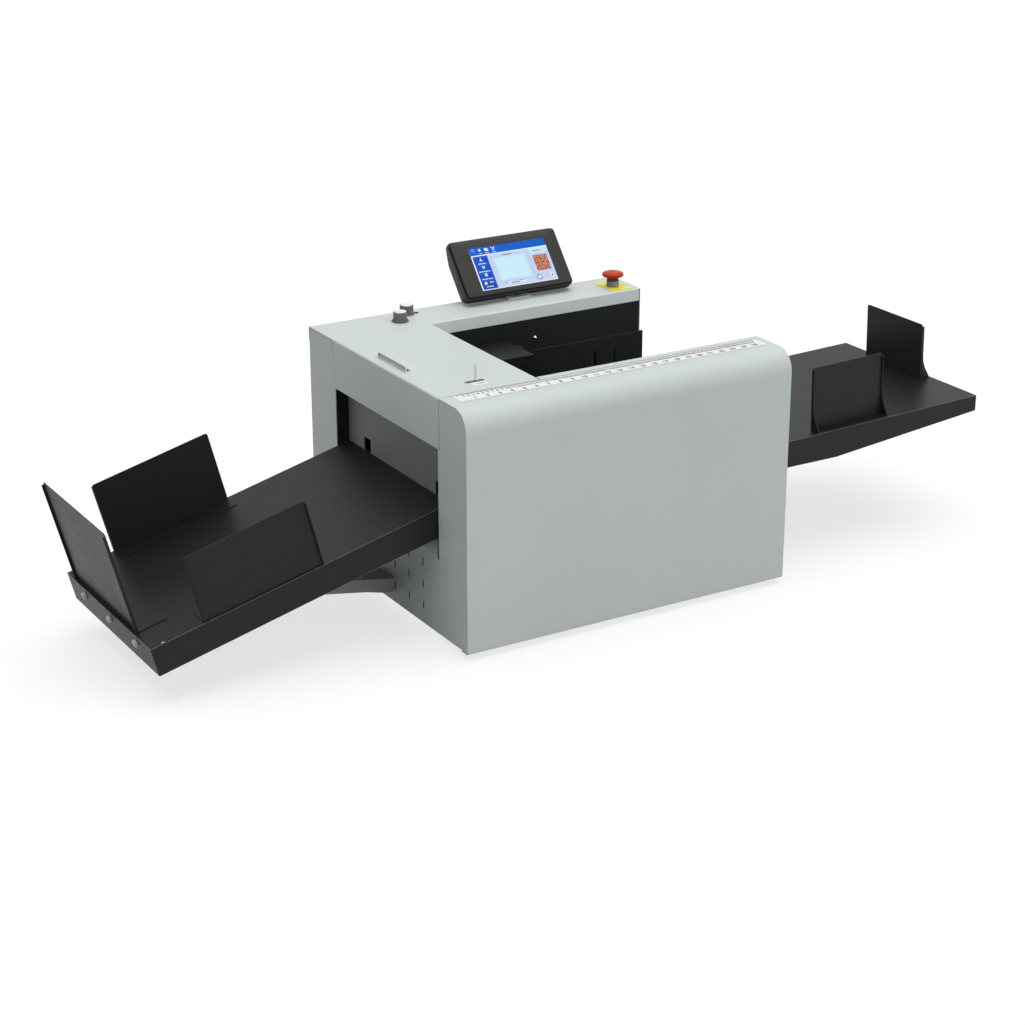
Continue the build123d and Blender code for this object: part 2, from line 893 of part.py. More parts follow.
with BuildPart() as upper_rear_lining:
    block(
        (lining_start, rear_length - 1),
        (rear_front, rear_front + panel_sheet),
        (pan_top, lip_level),
    )
    lift_slots((rear_front - 1, rear_front + 3))
    rod_y(
        plunger_x,
        plunger_z,
        plunger_radius + running_clearance,
        (rear_front - 1, rear_front + 3),
        Mode.SUBTRACT,
    )
keep(upper_rear_lining, "upper_rear_lining")

side_lay_bottom = throat_floor + cover_sheet
side_lay_x = (head_right + cover_sheet, body_length + side_lay_overhang)

with BuildPart() as side_lay_panel:
    inner = panel_sheet / 2
    bent_sheet_x(
        [
            (rear_front, side_lay_top - inner),
            (side_lay_front + inner, side_lay_top - inner),
            (side_lay_front + inner, side_lay_bottom + inner),
            (rear_front, side_lay_bottom + inner),
        ],
        [panel_sheet, panel_sheet],
        panel_sheet,
        side_lay_x,
    )
    block(
        (rear_length, side_lay_x[1] + 1),
        (rear_front - 0.6, rear_front + 1),
        (side_lay_bottom - 1, side_lay_top + 1),
        mode=Mode.SUBTRACT,
    )
    lift_slots((side_lay_front - 1, rear_front - 1))
keep(side_lay_panel, "side_lay_panel")


def head_plan():
    """Plan of the feed head's cover, with the ledge that runs on along the side lay."""
    ledge_y = side_lay_front - head_ledge_width
    nose_y = head_near + head_width / 2
    Polygon(
        (head_left, head_near),
        (head_right, head_near),
        (head_right, nose_y - head_ledge_width),
        (head_right + head_nose_reach, nose_y + 2 * head_nose_step),
        (head_right - head_nose_step, nose_y + head_nose_reach + 2 * head_nose_step),
        (head_right, ledge_y),
        (head_right + head_ledge_length, ledge_y),
        (head_right + head_ledge_length, frame_far_in),
        (head_left, frame_far_in),
        align=None,
    )


with BuildPart() as feed_head_cover:
    with BuildSketch(Plane.XY.offset(head_bottom)):
        head_plan()
    extrude(amount=head_top - head_bottom)
    open_sides = faces().sort_by(Axis.Z)[:1] + faces().sort_by(Axis.Y)[-1:]
    offset(amount=-panel_sheet, openings=open_sides)
keep(feed_head_cover, "feed_head_cover")

drum_start = frame_far_in - beam_end_gap - drum_length
drum_shaft_end = rear_front - 0.5

with BuildPart() as suction_drum:
    rod_y(drum_x, drum_z, drum_radius, (drum_start, drum_start + drum_length))
    rod_y(drum_x, drum_z, shaft_radius, (drum_start - cover_sheet, drum_shaft_end))
    with BuildSketch(Plane.XZ.offset(-drum_start)):
        with Locations((drum_x, drum_z)):
            with PolarLocations(drum_radius * 2 / 3, drum_holes):
                Circle(drum_hole_radius)
    extrude(amount=-drum_hole_depth, mode=Mode.SUBTRACT)
keep(suction_drum, "suction_drum")

with BuildPart() as head_plunger:
    plunger_y = (rear_front - 2 * plunger_radius, rear_front + plunger_tail + plunger_travel)
    rod_y(plunger_x, plunger_z, plunger_radius, plunger_y)
    with Locations((plunger_x, plunger_y[0] - plunger_radius, plunger_z)):
        Sphere(plunger_ball)
keep(head_plunger, "head_plunger")


# ---------------------------------------------------------------- machine bay
blower_from_end = 282.0
blower_at = (body_length - blower_from_end, (frame_near_in + frame_far_in) / 2)
blower_radius = 62.0
blower_height = 70.0
blower_motor = (34.0, 50.0)
blower_outlet = (110.0, 36.0, 42.0)
outlet_lift = 14.0

with BuildPart() as vacuum_blower:
    blower_top = pan_floor + blower_height
    rod_z(*blower_at, blower_radius, (pan_floor, blower_top))
    rod_z(*blower_at, blower_motor[0], (blower_top, blower_top + blower_motor[1]))
    outlet_y = blower_at[1] - blower_radius
    block(
        (blower_at[0], blower_at[0] + blower_outlet[0]),
        (outlet_y, outlet_y + blower_outlet[1]),
        (pan_floor + outlet_lift, pan_floor + outlet_lift + blower_outlet[2]),
    )
keep(vacuum_blower, "vacuum_blower")

box_inset = 20.0
box_y = (box_inset, front_depth - cover_lip)
control_box_from_end = 386.0
control_box_length = 200.0
control_box_start = body_length - control_box_from_end
control_box_x = (control_box_start, control_box_start + control_box_length)
control_box_height = 150.0
supply_box_from_end = 146.0
supply_box_length = 120.0
supply_box_start = body_length - supply_box_from_end
supply_box_x = (supply_box_start, supply_box_start + supply_box_length)
supply_box_height = 60.0
box_louvres = 9

with BuildPart() as electronics_boxes:
    block(control_box_x, box_y, (pan_floor, pan_floor + control_box_height))
    with BuildSketch(Plane.XZ.offset(-box_y[1])):
        with Locations((sum(control_box_x) / 2, control_box_height / 2)):
            with GridLocations(3 * vent_width, 0, box_louvres, 1):
                Rectangle(vent_width, control_box_height / 2)
    extrude(amount=panel_sheet, mode=Mode.SUBTRACT)
    block(supply_box_x, box_y, (pan_floor, pan_floor + supply_box_height))
keep(electronics_boxes, "electronics_boxes")

# Feed bed lift: two guide rods behind the side lay, and the carriage that rides on them
lift_rod_radius = 6.0
lift_rod_setback = 46.0
lift_rod_y = rear_front + lift_rod_setback
lift_rod_spread = 20.0
lift_rods_at = (
    (lift_slot_x[0] - lift_rod_spread, lift_rod_y),
    (lift_slot_x[1] + lift_rod_spread, lift_rod_y),
)
lift_rod_drop = 13.0
lift_rod_top = lip_level - lift_rod_drop
lift_head = 8.0
carriage_drop = 24.0
carriage_bottom = throat_floor - carriage_drop
carriage_height = 54.0
carriage_margin = 14.0
carriage_x = (lift_rods_at[0][0] - carriage_margin, lift_rods_at[1][0] + carriage_margin)
carriage_y = (lift_rod_y - carriage_margin, lift_rod_y + carriage_margin)

with BuildPart() as lift_rods:
    for rod_at in lift_rods_at:
        rod_z(*rod_at, lift_rod_radius, (pan_floor, lift_rod_top))
        rod_z(*rod_at, 2 * lift_rod_radius, (pan_floor, pan_floor + lift_head))
    block(
        carriage_x,
        (rear_front + panel_sheet, carriage_y[1]),
        (lift_rod_top, lift_rod_top + lift_head),
    )
keep(lift_rods, "lift_rods")

with BuildPart() as lift_carriage:
    block(
        carriage_x,
        carriage_y,
        (carriage_bottom, carriage_bottom + carriage_height),
    )
    for rod_at in lift_rods_at:
        rod_z(
            *rod_at,
            lift_rod_radius + running_clearance,
            (carriage_bottom - 1, carriage_bottom + carriage_height + 1),
            Mode.SUBTRACT,
        )
    for slot_x in lift_slot_x:
        block(
            (slot_x - lift_arm_width / 2, slot_x + lift_arm_width / 2),
            (feed_inner_far, carriage_y[0]),
            (lift_arm_bottom, lift_arm_top),
        )
keep(lift_carriage, "lift_carriage")


# ---------------------------------------------------------------- hinged hood
lever_inset = 51.5
lever_y = hood_near + lever_inset
lever_width = 2.0
lever_slot_back = 19.0
lever_slot_front = 15.0

with BuildPart() as hood:
    block((0, hood_length), (hood_near, hood_far), (flap_level, body_height))
    fillet(edges().filter_by(Axis.Y).group_by(Axis.Z)[-1].sort_by(Axis.X)[0], radius=hood_flap_bend)
    fillet(edges().filter_by(Axis.Y).group_by(Axis.Z)[-1].sort_by(Axis.X)[-1], radius=hood_end_bend)
    block(
        (cover_sheet, hood_length + 1),
        (hood_near + panel_sheet, hood_far - panel_sheet),
        (flap_level - 1, body_height - cover_sheet),
        mode=Mode.SUBTRACT,
    )
    block(
        (cover_sheet, hood_length + 1),
        (hood_near - 1, hood_far + 1),
        (flap_level - 1, body_height - hood_return),
        mode=Mode.SUBTRACT,
    )
    rod_y(
        hood_pin_x,
        hood_pin_z,
        hood_pin_radius + running_clearance,
        (hood_near - 1, hood_far + 1),
        Mode.SUBTRACT,
    )
    block(
        (lever_pivot_x - lever_slot_back, lever_pivot_x + lever_slot_front),
        (lever_y - lever_width, lever_y + lever_width),
        (body_height - 2 * cover_sheet, body_height + 1),
        mode=Mode.SUBTRACT,
    )
keep(hood, "hood")

handle_length = 109.0
handle_inset = 160.0
handle_near = hood_near + handle_inset
handle_left = 22.0
handle_rise = 11.0
handle_lip = 4.0
handle_edge = 1.2

with BuildPart() as hood_handle:
    with BuildSketch(Plane.XZ.offset(-handle_near)):
        with BuildLine():
            handle_top = body_height + handle_rise
            Polyline(
                (handle_left + 4 * handle_lip, body_height),
                (handle_left + 3 * handle_lip, handle_top - handle_lip - 1),
                (handle_left, handle_top - handle_lip),
                (handle_left, handle_top),
                (handle_left + 4 * handle_lip, handle_top - 1),
                (handle_left + 3 * handle_rise, body_height),
                close=True,
            )
        make_face()
    extrude(amount=-handle_length)
    fillet(edges().filter_by(Axis.Y).group_by(Axis.Z)[-1], radius=handle_edge)
keep(hood_handle, "hood_handle")

ear_length = 10.0
ear_x = (hood_pin_x - ear_length + cover_sheet, hood_pin_x + cover_sheet)
ear_top = hood_pin_z + panel_sheet
ear_gap = 0.4
near_ear_y = (hood_near + panel_sheet + ear_gap, frame_near_in)
far_ear_y = (frame_far_in, hood_far - panel_sheet - ear_gap)

with BuildPart() as hinge_beam:
    block(hinge_beam_x, (frame_near_out, rear_front), hinge_beam_z)
    for ear_y, pin_end in ((near_ear_y, hood_near - ear_gap), (far_ear_y, hood_far + ear_gap)):
        block((ear_x[0], hinge_beam_x[1]), ear_y, hinge_beam_z)
        block(ear_x, ear_y, (hinge_beam_z[1], ear_top))
        pin_ends = (min(ear_y[0], pin_end), max(ear_y[1], pin_end))
        rod_y(hood_pin_x, hood_pin_z, hood_pin_radius, pin_ends)
keep(hinge_beam, "hinge_beam")

lever_rise = 33.0
lever_hub = 8.0

with BuildPart() as adjust_lever:
    lever_far = lever_y + lever_width
    rod_y(lever_pivot_x, lever_pivot_z, lever_shaft_radius, (shaft_near, lever_far))
    rod_y(lever_pivot_x, lever_pivot_z, lever_hub, (lever_far - lever_hub, lever_far))
    block(
        (lever_pivot_x - lever_width, lever_pivot_x + lever_width),
        (lever_y - lever_width / 2, lever_y + lever_width / 2),
        (lever_pivot_z, body_height + lever_rise),
    )
keep(adjust_lever, "adjust_lever")


# ---------------------------------------------------------------- delivery tray
# Local frame of the tray: x up the slope from its outer end, y across, z out of its top.
slope_cos = cos(radians(delivery_slope))
slope_sin = sin(radians(delivery_slope))
delivery_end_level = delivery_root_level - delivery_run * tan(radians(delivery_slope))
delivery_length = (delivery_run + delivery_inner_x) / slope_cos
delivery_plane = Plane(
    origin=(-delivery_run, delivery_near, delivery_end_level),
    x_dir=(slope_cos, 0, slope_sin),
    z_dir=(-slope_sin, 0, slope_cos),
)

with BuildPart() as delivery_tray_local:
    block((0, delivery_length), (0, tray_width), (-tray_skirt, 0))
    fillet(edges().filter_by(Axis.Z).group_by(Axis.X)[0], radius=tray_corner)
    offset(amount=-tray_sheet, openings=faces().sort_by(Axis.Z)[:1])
    block(
        (delivery_length - 2 * tray_sheet, delivery_length + 1),
        (tray_sheet, tray_width - tray_sheet),
        (-tray_skirt - 1, -tray_sheet),
        mode=Mode.SUBTRACT,
    )

with BuildPart() as delivery_tray:
    add(delivery_plane.location * delivery_tray_local.part)
    block(
        (delivery_inner_x, delivery_inner_x + tray_skirt),
        (frame_near_in, frame_far_in),
        (exit_bottom, paper_level),
        mode=Mode.SUBTRACT,
    )
keep(delivery_tray, "delivery_tray")

strut_slope = tan(radians(strut_angle))
tray_mid = delivery_near + tray_width / 2
under_root = delivery_root_level - tray_sheet / slope_cos
strut_meet = (under_root - strut_root) / (tan(radians(delivery_slope)) + strut_slope)


def strut_side():
    """Side profile of the strut, which ends in a pad against the tray's underside."""
    pad_end = strut_meet + strut_pad
    Polygon(
        (panel_recess, strut_root - strut_drop),
        (panel_recess, strut_root),
        (-strut_meet, strut_root + strut_meet * strut_slope),
        (-pad_end, under_root - pad_end * tan(radians(delivery_slope))),
        (-strut_meet, strut_root + strut_meet * strut_slope - strut_drop),
        (-strut_width, strut_root + strut_width * strut_slope - strut_drop),
        (-strut_flat, strut_root - strut_drop),
        align=None,
    )


with BuildPart() as tray_strut:
    with BuildSketch(Plane.XZ.offset(-(tray_mid - strut_width / 2))):
        strut_side()
    extrude(amount=-strut_width)
    with BuildSketch(Plane.XZ.offset(-(tray_mid - strut_width / 2 + strut_wall))) as hollow:
        with Locations((0, -strut_wall)):
            strut_side()
    extrude(hollow.sketch, amount=-(strut_width - 2 * strut_wall), mode=Mode.SUBTRACT)
keep(tray_strut, "tray_strut")

wall_x = (delivery_inner_x, delivery_inner_x + panel_sheet)

wall_bottom = paper_level - wall_foot_drop
notch_top = wall_bottom + notch_height

with BuildPart() as stacker_wall:
    block(wall_x, (frame_near_in, frame_far_in), (wall_bottom, paper_level - wall_drop))
    for notch_from in notches_at:
        notch_y = frame_near_in + notch_from
        block(
            (wall_x[0] - 1, wall_x[1] + 1),
            (notch_y - notch_width / 2, notch_y + notch_width / 2),
            (wall_bottom - 1, notch_top),
            mode=Mode.SUBTRACT,
        )
keep(stacker_wall, "stacker_wall")


# ---------------------------------------------------------------- stops and guides
def rimmed_plate(length, height, foot, foot_side):
    """Upright plate along x with narrow end rims, and a foot on one side of it.

    The plate's working face is y = 0; the foot runs to foot_side * foot, and the rims
    point the other way. The plate stands a seating gap above the tray.
    """
    with BuildPart() as plate:
        back = -foot_side
        span = sorted((0, back * guide_sheet))
        block((0, length), span, (0, height))
        corners = edges().filter_by(Axis.Y).group_by(Axis.Z)[-1]
        fillet(corners, radius=guide_corner)
        rim = sorted((0, back * guide_rim))
        for rim_x in ((0, guide_sheet), (length - guide_sheet, length)):
            block(rim_x, rim, (0, height - guide_corner))
        block((0, length), sorted((0, foot_side * foot)), (0, guide_sheet))
    return plate.part


def flared_plate(length, height, foot):
    """Upright plate along x whose end flanges flare down into a foot on the -y side."""
    flare_start = height * flare_share
    with BuildPart() as plate:
        block((0, length), (-guide_sheet, 0), (0, height))
        corners = edges().filter_by(Axis.Y).group_by(Axis.Z)[-1]
        fillet(corners, radius=guide_corner)
        block((0, length), (-foot, 0), (0, guide_sheet))
        for flange_x in (0, length - guide_sheet):
            with BuildSketch(Plane.YZ.offset(flange_x)):
                with BuildLine():
                    Polyline(
                        (-foot, 0),
                        (0, 0),
                        (0, height - guide_corner),
                        (-guide_rim, height - guide_corner),
                        (-guide_rim, flare_start),
                    )
                    Bezier(
                        (-guide_rim, flare_start),
                        (-guide_rim, flare_start * 0.5),
                        (-foot * 0.75, flare_start * 0.3),
                        (-foot, 0),
                    )
                make_face()
            extrude(amount=guide_sheet)
    return plate.part


def on_delivery(slope_x, across_y, turn=0):
    """Place on the delivery tray's top: a distance up its slope and across it."""
    spot = delivery_plane.location * Location((slope_x, across_y, guide_seat))
    return spot * Location((0, 0, 0), (0, 0, turn))


with BuildPart() as delivery_near_guide:
    add(
        on_delivery(near_guide_start, near_guide_inset)
        * rimmed_plate(delivery_guide_length, near_guide_height, delivery_guide_foot, 1)
    )
keep(delivery_near_guide, "delivery_near_guide")

with BuildPart() as delivery_far_guide:
    add(
        on_delivery(far_guide_start, tray_width - far_guide_inset)
        * rimmed_plate(delivery_guide_length, far_guide_height, delivery_guide_foot, -1)
    )
keep(delivery_far_guide, "delivery_far_guide")

with BuildPart() as delivery_end_stop:
    add(
        on_delivery(stop_inset, stop_side_inset, 90)
        * rimmed_plate(stop_width, stop_height, stop_foot, -1)
    )
keep(delivery_end_stop, "delivery_end_stop")


# ---------------------------------------------------------------- feed bed
feed_tan = tan(radians(feed_slope))


def feed_level(x):
    """Height of the feed bed's top at a place along the paper path."""
    return feed_root_level + (x - body_length) * feed_tan


feed_outline = [
    (feed_inner_x, feed_inner_near),
    (feed_step_x, feed_inner_near),
    (feed_step_x, feed_near),
    (feed_run, feed_near),
    (feed_run, feed_far),
    (feed_step_x, feed_far),
    (feed_step_x, feed_inner_far),
    (feed_inner_x, feed_inner_far),
]


def under_bed(x_low, x_high, low_points, sheet=0.0):
    """Region under the bed's top, or a sheet's thickness lower, in the xz plane."""
    Polygon(
        (x_low, feed_level(x_low) - sheet),
        (x_high, feed_level(x_high) - sheet),
        *low_points,
        align=None,
    )


def hollow_span(x_low, x_high, y_low, y_high):
    """Hollow out the bed's underside between two places along and across the paper path."""
    with BuildSketch(Plane.XZ.offset(-y_low)) as section:
        low_points = [(x_high, throat_floor), (x_low, throat_floor)]
        under_bed(x_low, x_high, low_points, tray_sheet)
    extrude(section.sketch, amount=y_low - y_high, mode=Mode.SUBTRACT)


with BuildPart() as feed_bed:
    with BuildSketch(Plane.XY.offset(feed_skirt_level)):
        with BuildLine():
            Polyline(*feed_outline, close=True)
        make_face()
    extrude(amount=body_height)
    with BuildSketch(Plane.XZ.offset(-feed_near)):
        skirt_low = [
            (feed_run, feed_level(feed_run) - feed_end_skirt),
            (feed_step_x + feed_skirt_kink, feed_skirt_level),
            (feed_inner_x, feed_skirt_level),
        ]
        under_bed(feed_inner_x, feed_run, skirt_low)
    extrude(amount=feed_near - feed_far, mode=Mode.INTERSECT)
    outer_x = (feed_step_x + tray_sheet, feed_run - tray_sheet)
    hollow_span(*outer_x, feed_near + tray_sheet, feed_far - tray_sheet)
    inner_x = (feed_inner_x + tray_sheet, feed_step_x + 2 * tray_sheet)
    hollow_span(*inner_x, feed_inner_near + tray_sheet, feed_inner_far - tray_sheet)
keep(feed_bed, "feed_bed")

feed_cos = cos(radians(feed_slope))
feed_sin = sin(radians(feed_slope))
feed_guide_x = feed_step_x + feed_guide_start
feed_guide_y = feed_near + feed_guide_inset
feed_stop_x = feed_run - feed_stop_inset
feed_stop_near = feed_near + feed_stop_side_inset
feed_plane = Plane(
    origin=(0, 0, feed_level(0)),
    x_dir=(feed_cos, 0, feed_sin),
    z_dir=(-feed_sin, 0, feed_cos),
)


def on_feed(x, y, turn=0):
    """Place on the feed bed's top."""
    spot = feed_plane.location * Location((x / feed_cos, y, guide_seat))
    return spot * Location((0, 0, 0), (0, 0, turn))


with BuildPart() as feed_side_guide:
    add(
        on_feed(feed_guide_x, feed_guide_y)
        * flared_plate(feed_guide_length, feed_guide_height, feed_guide_foot)
    )
keep(feed_side_guide, "feed_side_guide")

with BuildPart() as feed_end_stop:
    add(
        on_feed(feed_stop_x, feed_stop_near, 90)
        * flared_plate(feed_stop_width, feed_stop_height, feed_stop_foot)
    )
keep(feed_end_stop, "feed_end_stop")


# ---------------------------------------------------------------- controls
knob_clearance = 0.5
knob_flange = 3.0
flute_radius = 1.2


def knob(at):
    """Ribbed turning knob with its flange and cap, standing on the rear top cover."""
    base = body_height + knob_clearance
    cap = base + knob_height - knob_flange
    with BuildPart() as turned:
        rod_z(*at, knob_flange_radius, (base, base + knob_flange))
        with BuildSketch(Plane.XY.offset(base + knob_flange)):
            with Locations(at):
                Circle(knob_radius)
                with PolarLocations(knob_radius + flute_radius / 3, knob_flutes):
                    Circle(flute_radius, mode=Mode.SUBTRACT)
        extrude(amount=cap - base - knob_flange)
        rod_z(*at, knob_radius - knob_flange, (cap, base + knob_height))
        rod_z(*at, shaft_radius - 1, (body_height - 14, base))
    return turned


near_knob = knob(near_knob_at)
keep(near_knob, "near_knob")
far_knob = knob(far_knob_at)
keep(far_knob, "far_knob")

plate_x = (stop_button_at[0] - 21.0, stop_button_at[0] - 21.0 + stop_plate_size[0])
plate_y = (rear_front + bend_radius, rear_front + bend_radius + stop_plate_size[1])

with BuildPart() as stop_button_plate:
    block(plate_x, plate_y, (body_height, body_height + stop_plate_thickness))
    rod_z(*stop_button_at, collar_neck, (body_height - 1, body_height + 2), Mode.SUBTRACT)
keep(stop_button_plate, "stop_button_plate")

collar_base = body_height + stop_plate_thickness
collar_top = collar_base + collar_height
collar_bottom = body_height - 2 * collar_height
stem_bottom = body_height - 16.0

with BuildPart() as stop_button_collar:
    rod_z(*stop_button_at, collar_radius, (collar_base, collar_top))
    rod_z(*stop_button_at, collar_neck, (collar_bottom, collar_base))
    bore = (stem_bottom - stop_button_travel, collar_top + 1)
    rod_z(*stop_button_at, stop_button_stem + running_clearance, bore, Mode.SUBTRACT)
keep(stop_button_collar, "stop_button_collar")

head_base = collar_top + stop_button_travel + 1.0
head_edge = 4.0

dome_slope = radians(20.0)
rim_x = stop_button_at[0] + stop_button_radius
dome_x = rim_x - head_edge * (1 - sin(dome_slope))
dome_radius = (dome_x - stop_button_at[0]) / sin(dome_slope)
head_crown = head_base + stop_button_rise
dome_z = head_crown - dome_radius * (1 - cos(dome_slope))
dome_middle_x = stop_button_at[0] + dome_radius * sin(dome_slope / 2)
dome_middle_z = head_crown - dome_radius * (1 - cos(dome_slope / 2))
shoulder_z = dome_z - head_edge * cos(dome_slope)

with BuildPart() as stop_button_head:
    with BuildSketch(Plane.XZ.offset(-stop_button_at[1])):
        with BuildLine():
            Polyline(
                (stop_button_at[0], head_crown),
                (stop_button_at[0], stem_bottom),
                (stop_button_at[0] + stop_button_stem, stem_bottom),
                (stop_button_at[0] + stop_button_stem, head_base),
                (rim_x - head_edge, head_base),
                (rim_x, head_base + head_edge - 1),
                (rim_x, shoulder_z),
            )
            RadiusArc((rim_x, shoulder_z), (dome_x, dome_z), -head_edge)
            ThreePointArc(
                (dome_x, dome_z),
                (dome_middle_x, dome_middle_z),
                (stop_button_at[0], head_crown),
            )
        make_face()
    revolve(axis=Axis(stop_button_at + (0,), (0, 0, 1)))
keep(stop_button_head, "stop_button_head")

# Local frame of the display: x to the right, y up its face, z out of its face
display_plane = Plane(
    origin=(display_left, rear_front + display_setback, body_height + display_rise),
    x_dir=(1, 0, 0),
    z_dir=(0, -cos(radians(display_tilt)), sin(radians(display_tilt))),
)
hinge_x = display_width / 2
bezel_edge = 2.5
back_edge = 6.0
screen_x = (screen_left, screen_left + screen_width)
screen_y = (screen_low, screen_low + screen_height)


def chamfered_outline(grow):
    """Front outline of the display with its four clipped corners."""
    Polygon(
        (display_chamfer - grow, -grow),
        (display_width - display_chamfer + grow, -grow),
        (display_width + grow, display_chamfer - grow),
        (display_width + grow, display_height - display_chamfer + grow),
        (display_width - display_chamfer + grow, display_height + grow),
        (display_chamfer - grow, display_height + grow),
        (-grow, display_height - display_chamfer + grow),
        (-grow, display_chamfer - grow),
        align=None,
    )


with BuildPart() as display_local:
    with BuildSketch(Plane.XY.offset(-bezel_depth)):
        chamfered_outline(0)
    extrude(amount=bezel_depth)
    chamfer(faces().sort_by(Axis.Z)[-1].edges(), length=bezel_edge)
    with BuildSketch(Plane.XY.offset(-bezel_depth)):
        chamfered_outline(bezel_step)
    extrude(amount=-(display_depth - bezel_depth))
    chamfer(faces().sort_by(Axis.Z)[0].edges(), length=back_edge)
    block(screen_x, screen_y, (-glass_depth, 1), mode=Mode.SUBTRACT)
    knuckle_x = (hinge_x - knuckle_half, hinge_x + knuckle_half)
    block(
        knuckle_x,
        (hinge_up - hinge_radius, hinge_up + hinge_radius),
        (-hinge_behind, -display_depth + 1),
    )
    rod_x(hinge_up, -hinge_behind, hinge_radius, knuckle_x)
    rod_x(
        hinge_up,
        -hinge_behind,
        hinge_pin_radius + running_clearance,
        (knuckle_x[0] - 1, knuckle_x[1] + 1),
        Mode.SUBTRACT,
    )

with BuildPart() as display_housing:
    add(display_plane.location * display_local.part)
keep(display_housing, "display_housing")

with BuildPart() as display_glass_local:
    block(screen_x, screen_y, (-glass_depth, 0))

with BuildPart() as display_glass:
    add(display_plane.location * display_glass_local.part)
keep(display_glass, "display_glass")

hinge_at = (display_plane.location * Location((hinge_x, hinge_up, -hinge_behind))).position
ear_inner = knuckle_half + ear_gap
ear_outer = ear_inner + 6.0
stand_foot_y = (hinge_at.Y - 23.75, hinge_at.Y + 14.0)

with BuildPart() as display_stand:
    block(
        (hinge_at.X - stand_half, hinge_at.X + stand_half),
        stand_foot_y,
        (body_height, body_height + stand_plate),
    )
    for ear_start in (hinge_at.X - ear_outer, hinge_at.X + ear_inner):
        with BuildSketch(Plane.YZ.offset(ear_start)):
            Polygon(
                (hinge_at.Y - 12, body_height + stand_plate),
                (hinge_at.Y + 12, body_height + stand_plate),
                (hinge_at.Y + 5, hinge_at.Z + 4),
                (hinge_at.Y - 5, hinge_at.Z + 4),
                align=None,
            )
            with Locations((hinge_at.Y, hinge_at.Z)):
                Circle(hinge_radius)
        extrude(amount=ear_outer - ear_inner)
    rod_x(
        hinge_at.Y,
        hinge_at.Z,
        hinge_pin_radius,
        (hinge_at.X - ear_outer, hinge_at.X + ear_outer),
    )
keep(display_stand, "display_stand")

with BuildPart() as ruler_strip:
    block(
        (ruler_start, body_length - ruler_end_gap),
        (hood_ledge - 2 - ruler_width, hood_ledge - 2),
        (body_height, body_height + ruler_thickness),
    )
keep(ruler_strip, "ruler_strip")

inlet_fit = 0.3
inlet_rim = 2.0
pin_pitch = 7.0
pin_size = (2.0, 4.0)

with BuildPart() as power_inlet:
    half_width = inlet_size[0] / 2 - inlet_fit
    half_height = inlet_size[1] / 2 - inlet_fit
    with BuildSketch(Plane.XZ.offset(-body_depth)):
        with Locations((inlet_x, inlet_z)):
            RectangleRounded(inlet_size[0] + 12, inlet_size[1] + 6, 2 * inlet_rim)
    extrude(amount=-inlet_rim)
    block(
        (inlet_x - half_width, inlet_x + half_width),
        (body_depth - inlet_size[0] / 2, body_depth),
        (inlet_z - half_height, inlet_z + half_height),
    )
    with BuildSketch(Plane.XZ.offset(-(body_depth + inlet_rim))):
        with Locations((inlet_x, inlet_z)):
            RectangleRounded(*inlet_socket, bend_radius)
    extrude(amount=inlet_socket[1], mode=Mode.SUBTRACT)
    for pin_from in (-pin_pitch, 0, pin_pitch):
        pin_x = inlet_x + pin_from
        block(
            (pin_x - pin_size[0] / 2, pin_x + pin_size[0] / 2),
            (body_depth + inlet_rim - inlet_socket[1], body_depth - inlet_rim),
            (inlet_z - pin_size[1] / 2, inlet_z + pin_size[1] / 2),
        )
keep(power_inlet, "power_inlet")

bezel_frame = 2.0
bezel_rim = 1.5
switch_depth = 16.0
switch_opening = (switch_size[0] - 2 * bezel_frame, switch_size[1] - 2 * bezel_frame)

with BuildPart() as switch_bezel:
    with BuildSketch(Plane.XZ.offset(-body_depth)):
        with Locations((switch_x, inlet_z)):
            Rectangle(switch_size[0] + 2 * bezel_frame, switch_size[1] + 2 * bezel_frame)
            Rectangle(*switch_opening, mode=Mode.SUBTRACT)
    extrude(amount=-bezel_rim)
    with BuildSketch(Plane.XZ.offset(-(body_depth - switch_depth))):
        with Locations((switch_x, inlet_z)):
            Rectangle(switch_size[0] - 2 * inlet_fit, switch_size[1] - 2 * inlet_fit)
            Rectangle(*switch_opening, mode=Mode.SUBTRACT)
    extrude(amount=-switch_depth)
keep(switch_bezel, "switch_bezel")

rocker_setback = 9.0
rocker_y = body_depth - rocker_setback
rocker_reach = 8.0
rocker_dip = 0.8
rocker_heel = 4.0
rocker_half = 11.2
rocker_side_gap = 0.5
rocker_half_width = switch_opening[0] / 2 - rocker_side_gap

with BuildPart() as switch_rocker:
    with BuildSketch(Plane.YZ.offset(switch_x - rocker_half_width)):
        with Locations(Location((rocker_y, inlet_z, 0), (0, 0, rocker_tilt))):
            Circle(rocker_heel)
            Polygon(
                (0, -rocker_heel),
                (rocker_reach, -rocker_half),
                (rocker_reach - rocker_dip, 0),
                (rocker_reach, rocker_half),
                (0, rocker_heel),
                align=None,
            )
    extrude(amount=2 * rocker_half_width)
keep(switch_rocker, "switch_rocker")


# ---------------------------------------------------------------- one move to the part's frame
boxes = [piece.bounding_box() for piece in pieces]
origin_x = (min(box.min.X for box in boxes) + max(box.max.X for box in boxes)) / 2
origin_y = (min(box.min.Y for box in boxes) + max(box.max.Y for box in boxes)) / 2
to_origin = Location((-origin_x, -origin_y, foot_height))

os.makedirs("parts", exist_ok=True)
for piece in pieces:
    placed = piece.moved(to_origin)
    placed.label = piece.label
    export_step(placed, "parts/" + piece.label + ".step")
print("machine frame origin moved by", -origin_x, -origin_y, foot_height, "pieces", len(pieces))
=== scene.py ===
import math

import bmesh
import bpy
from mathutils import Matrix, Vector


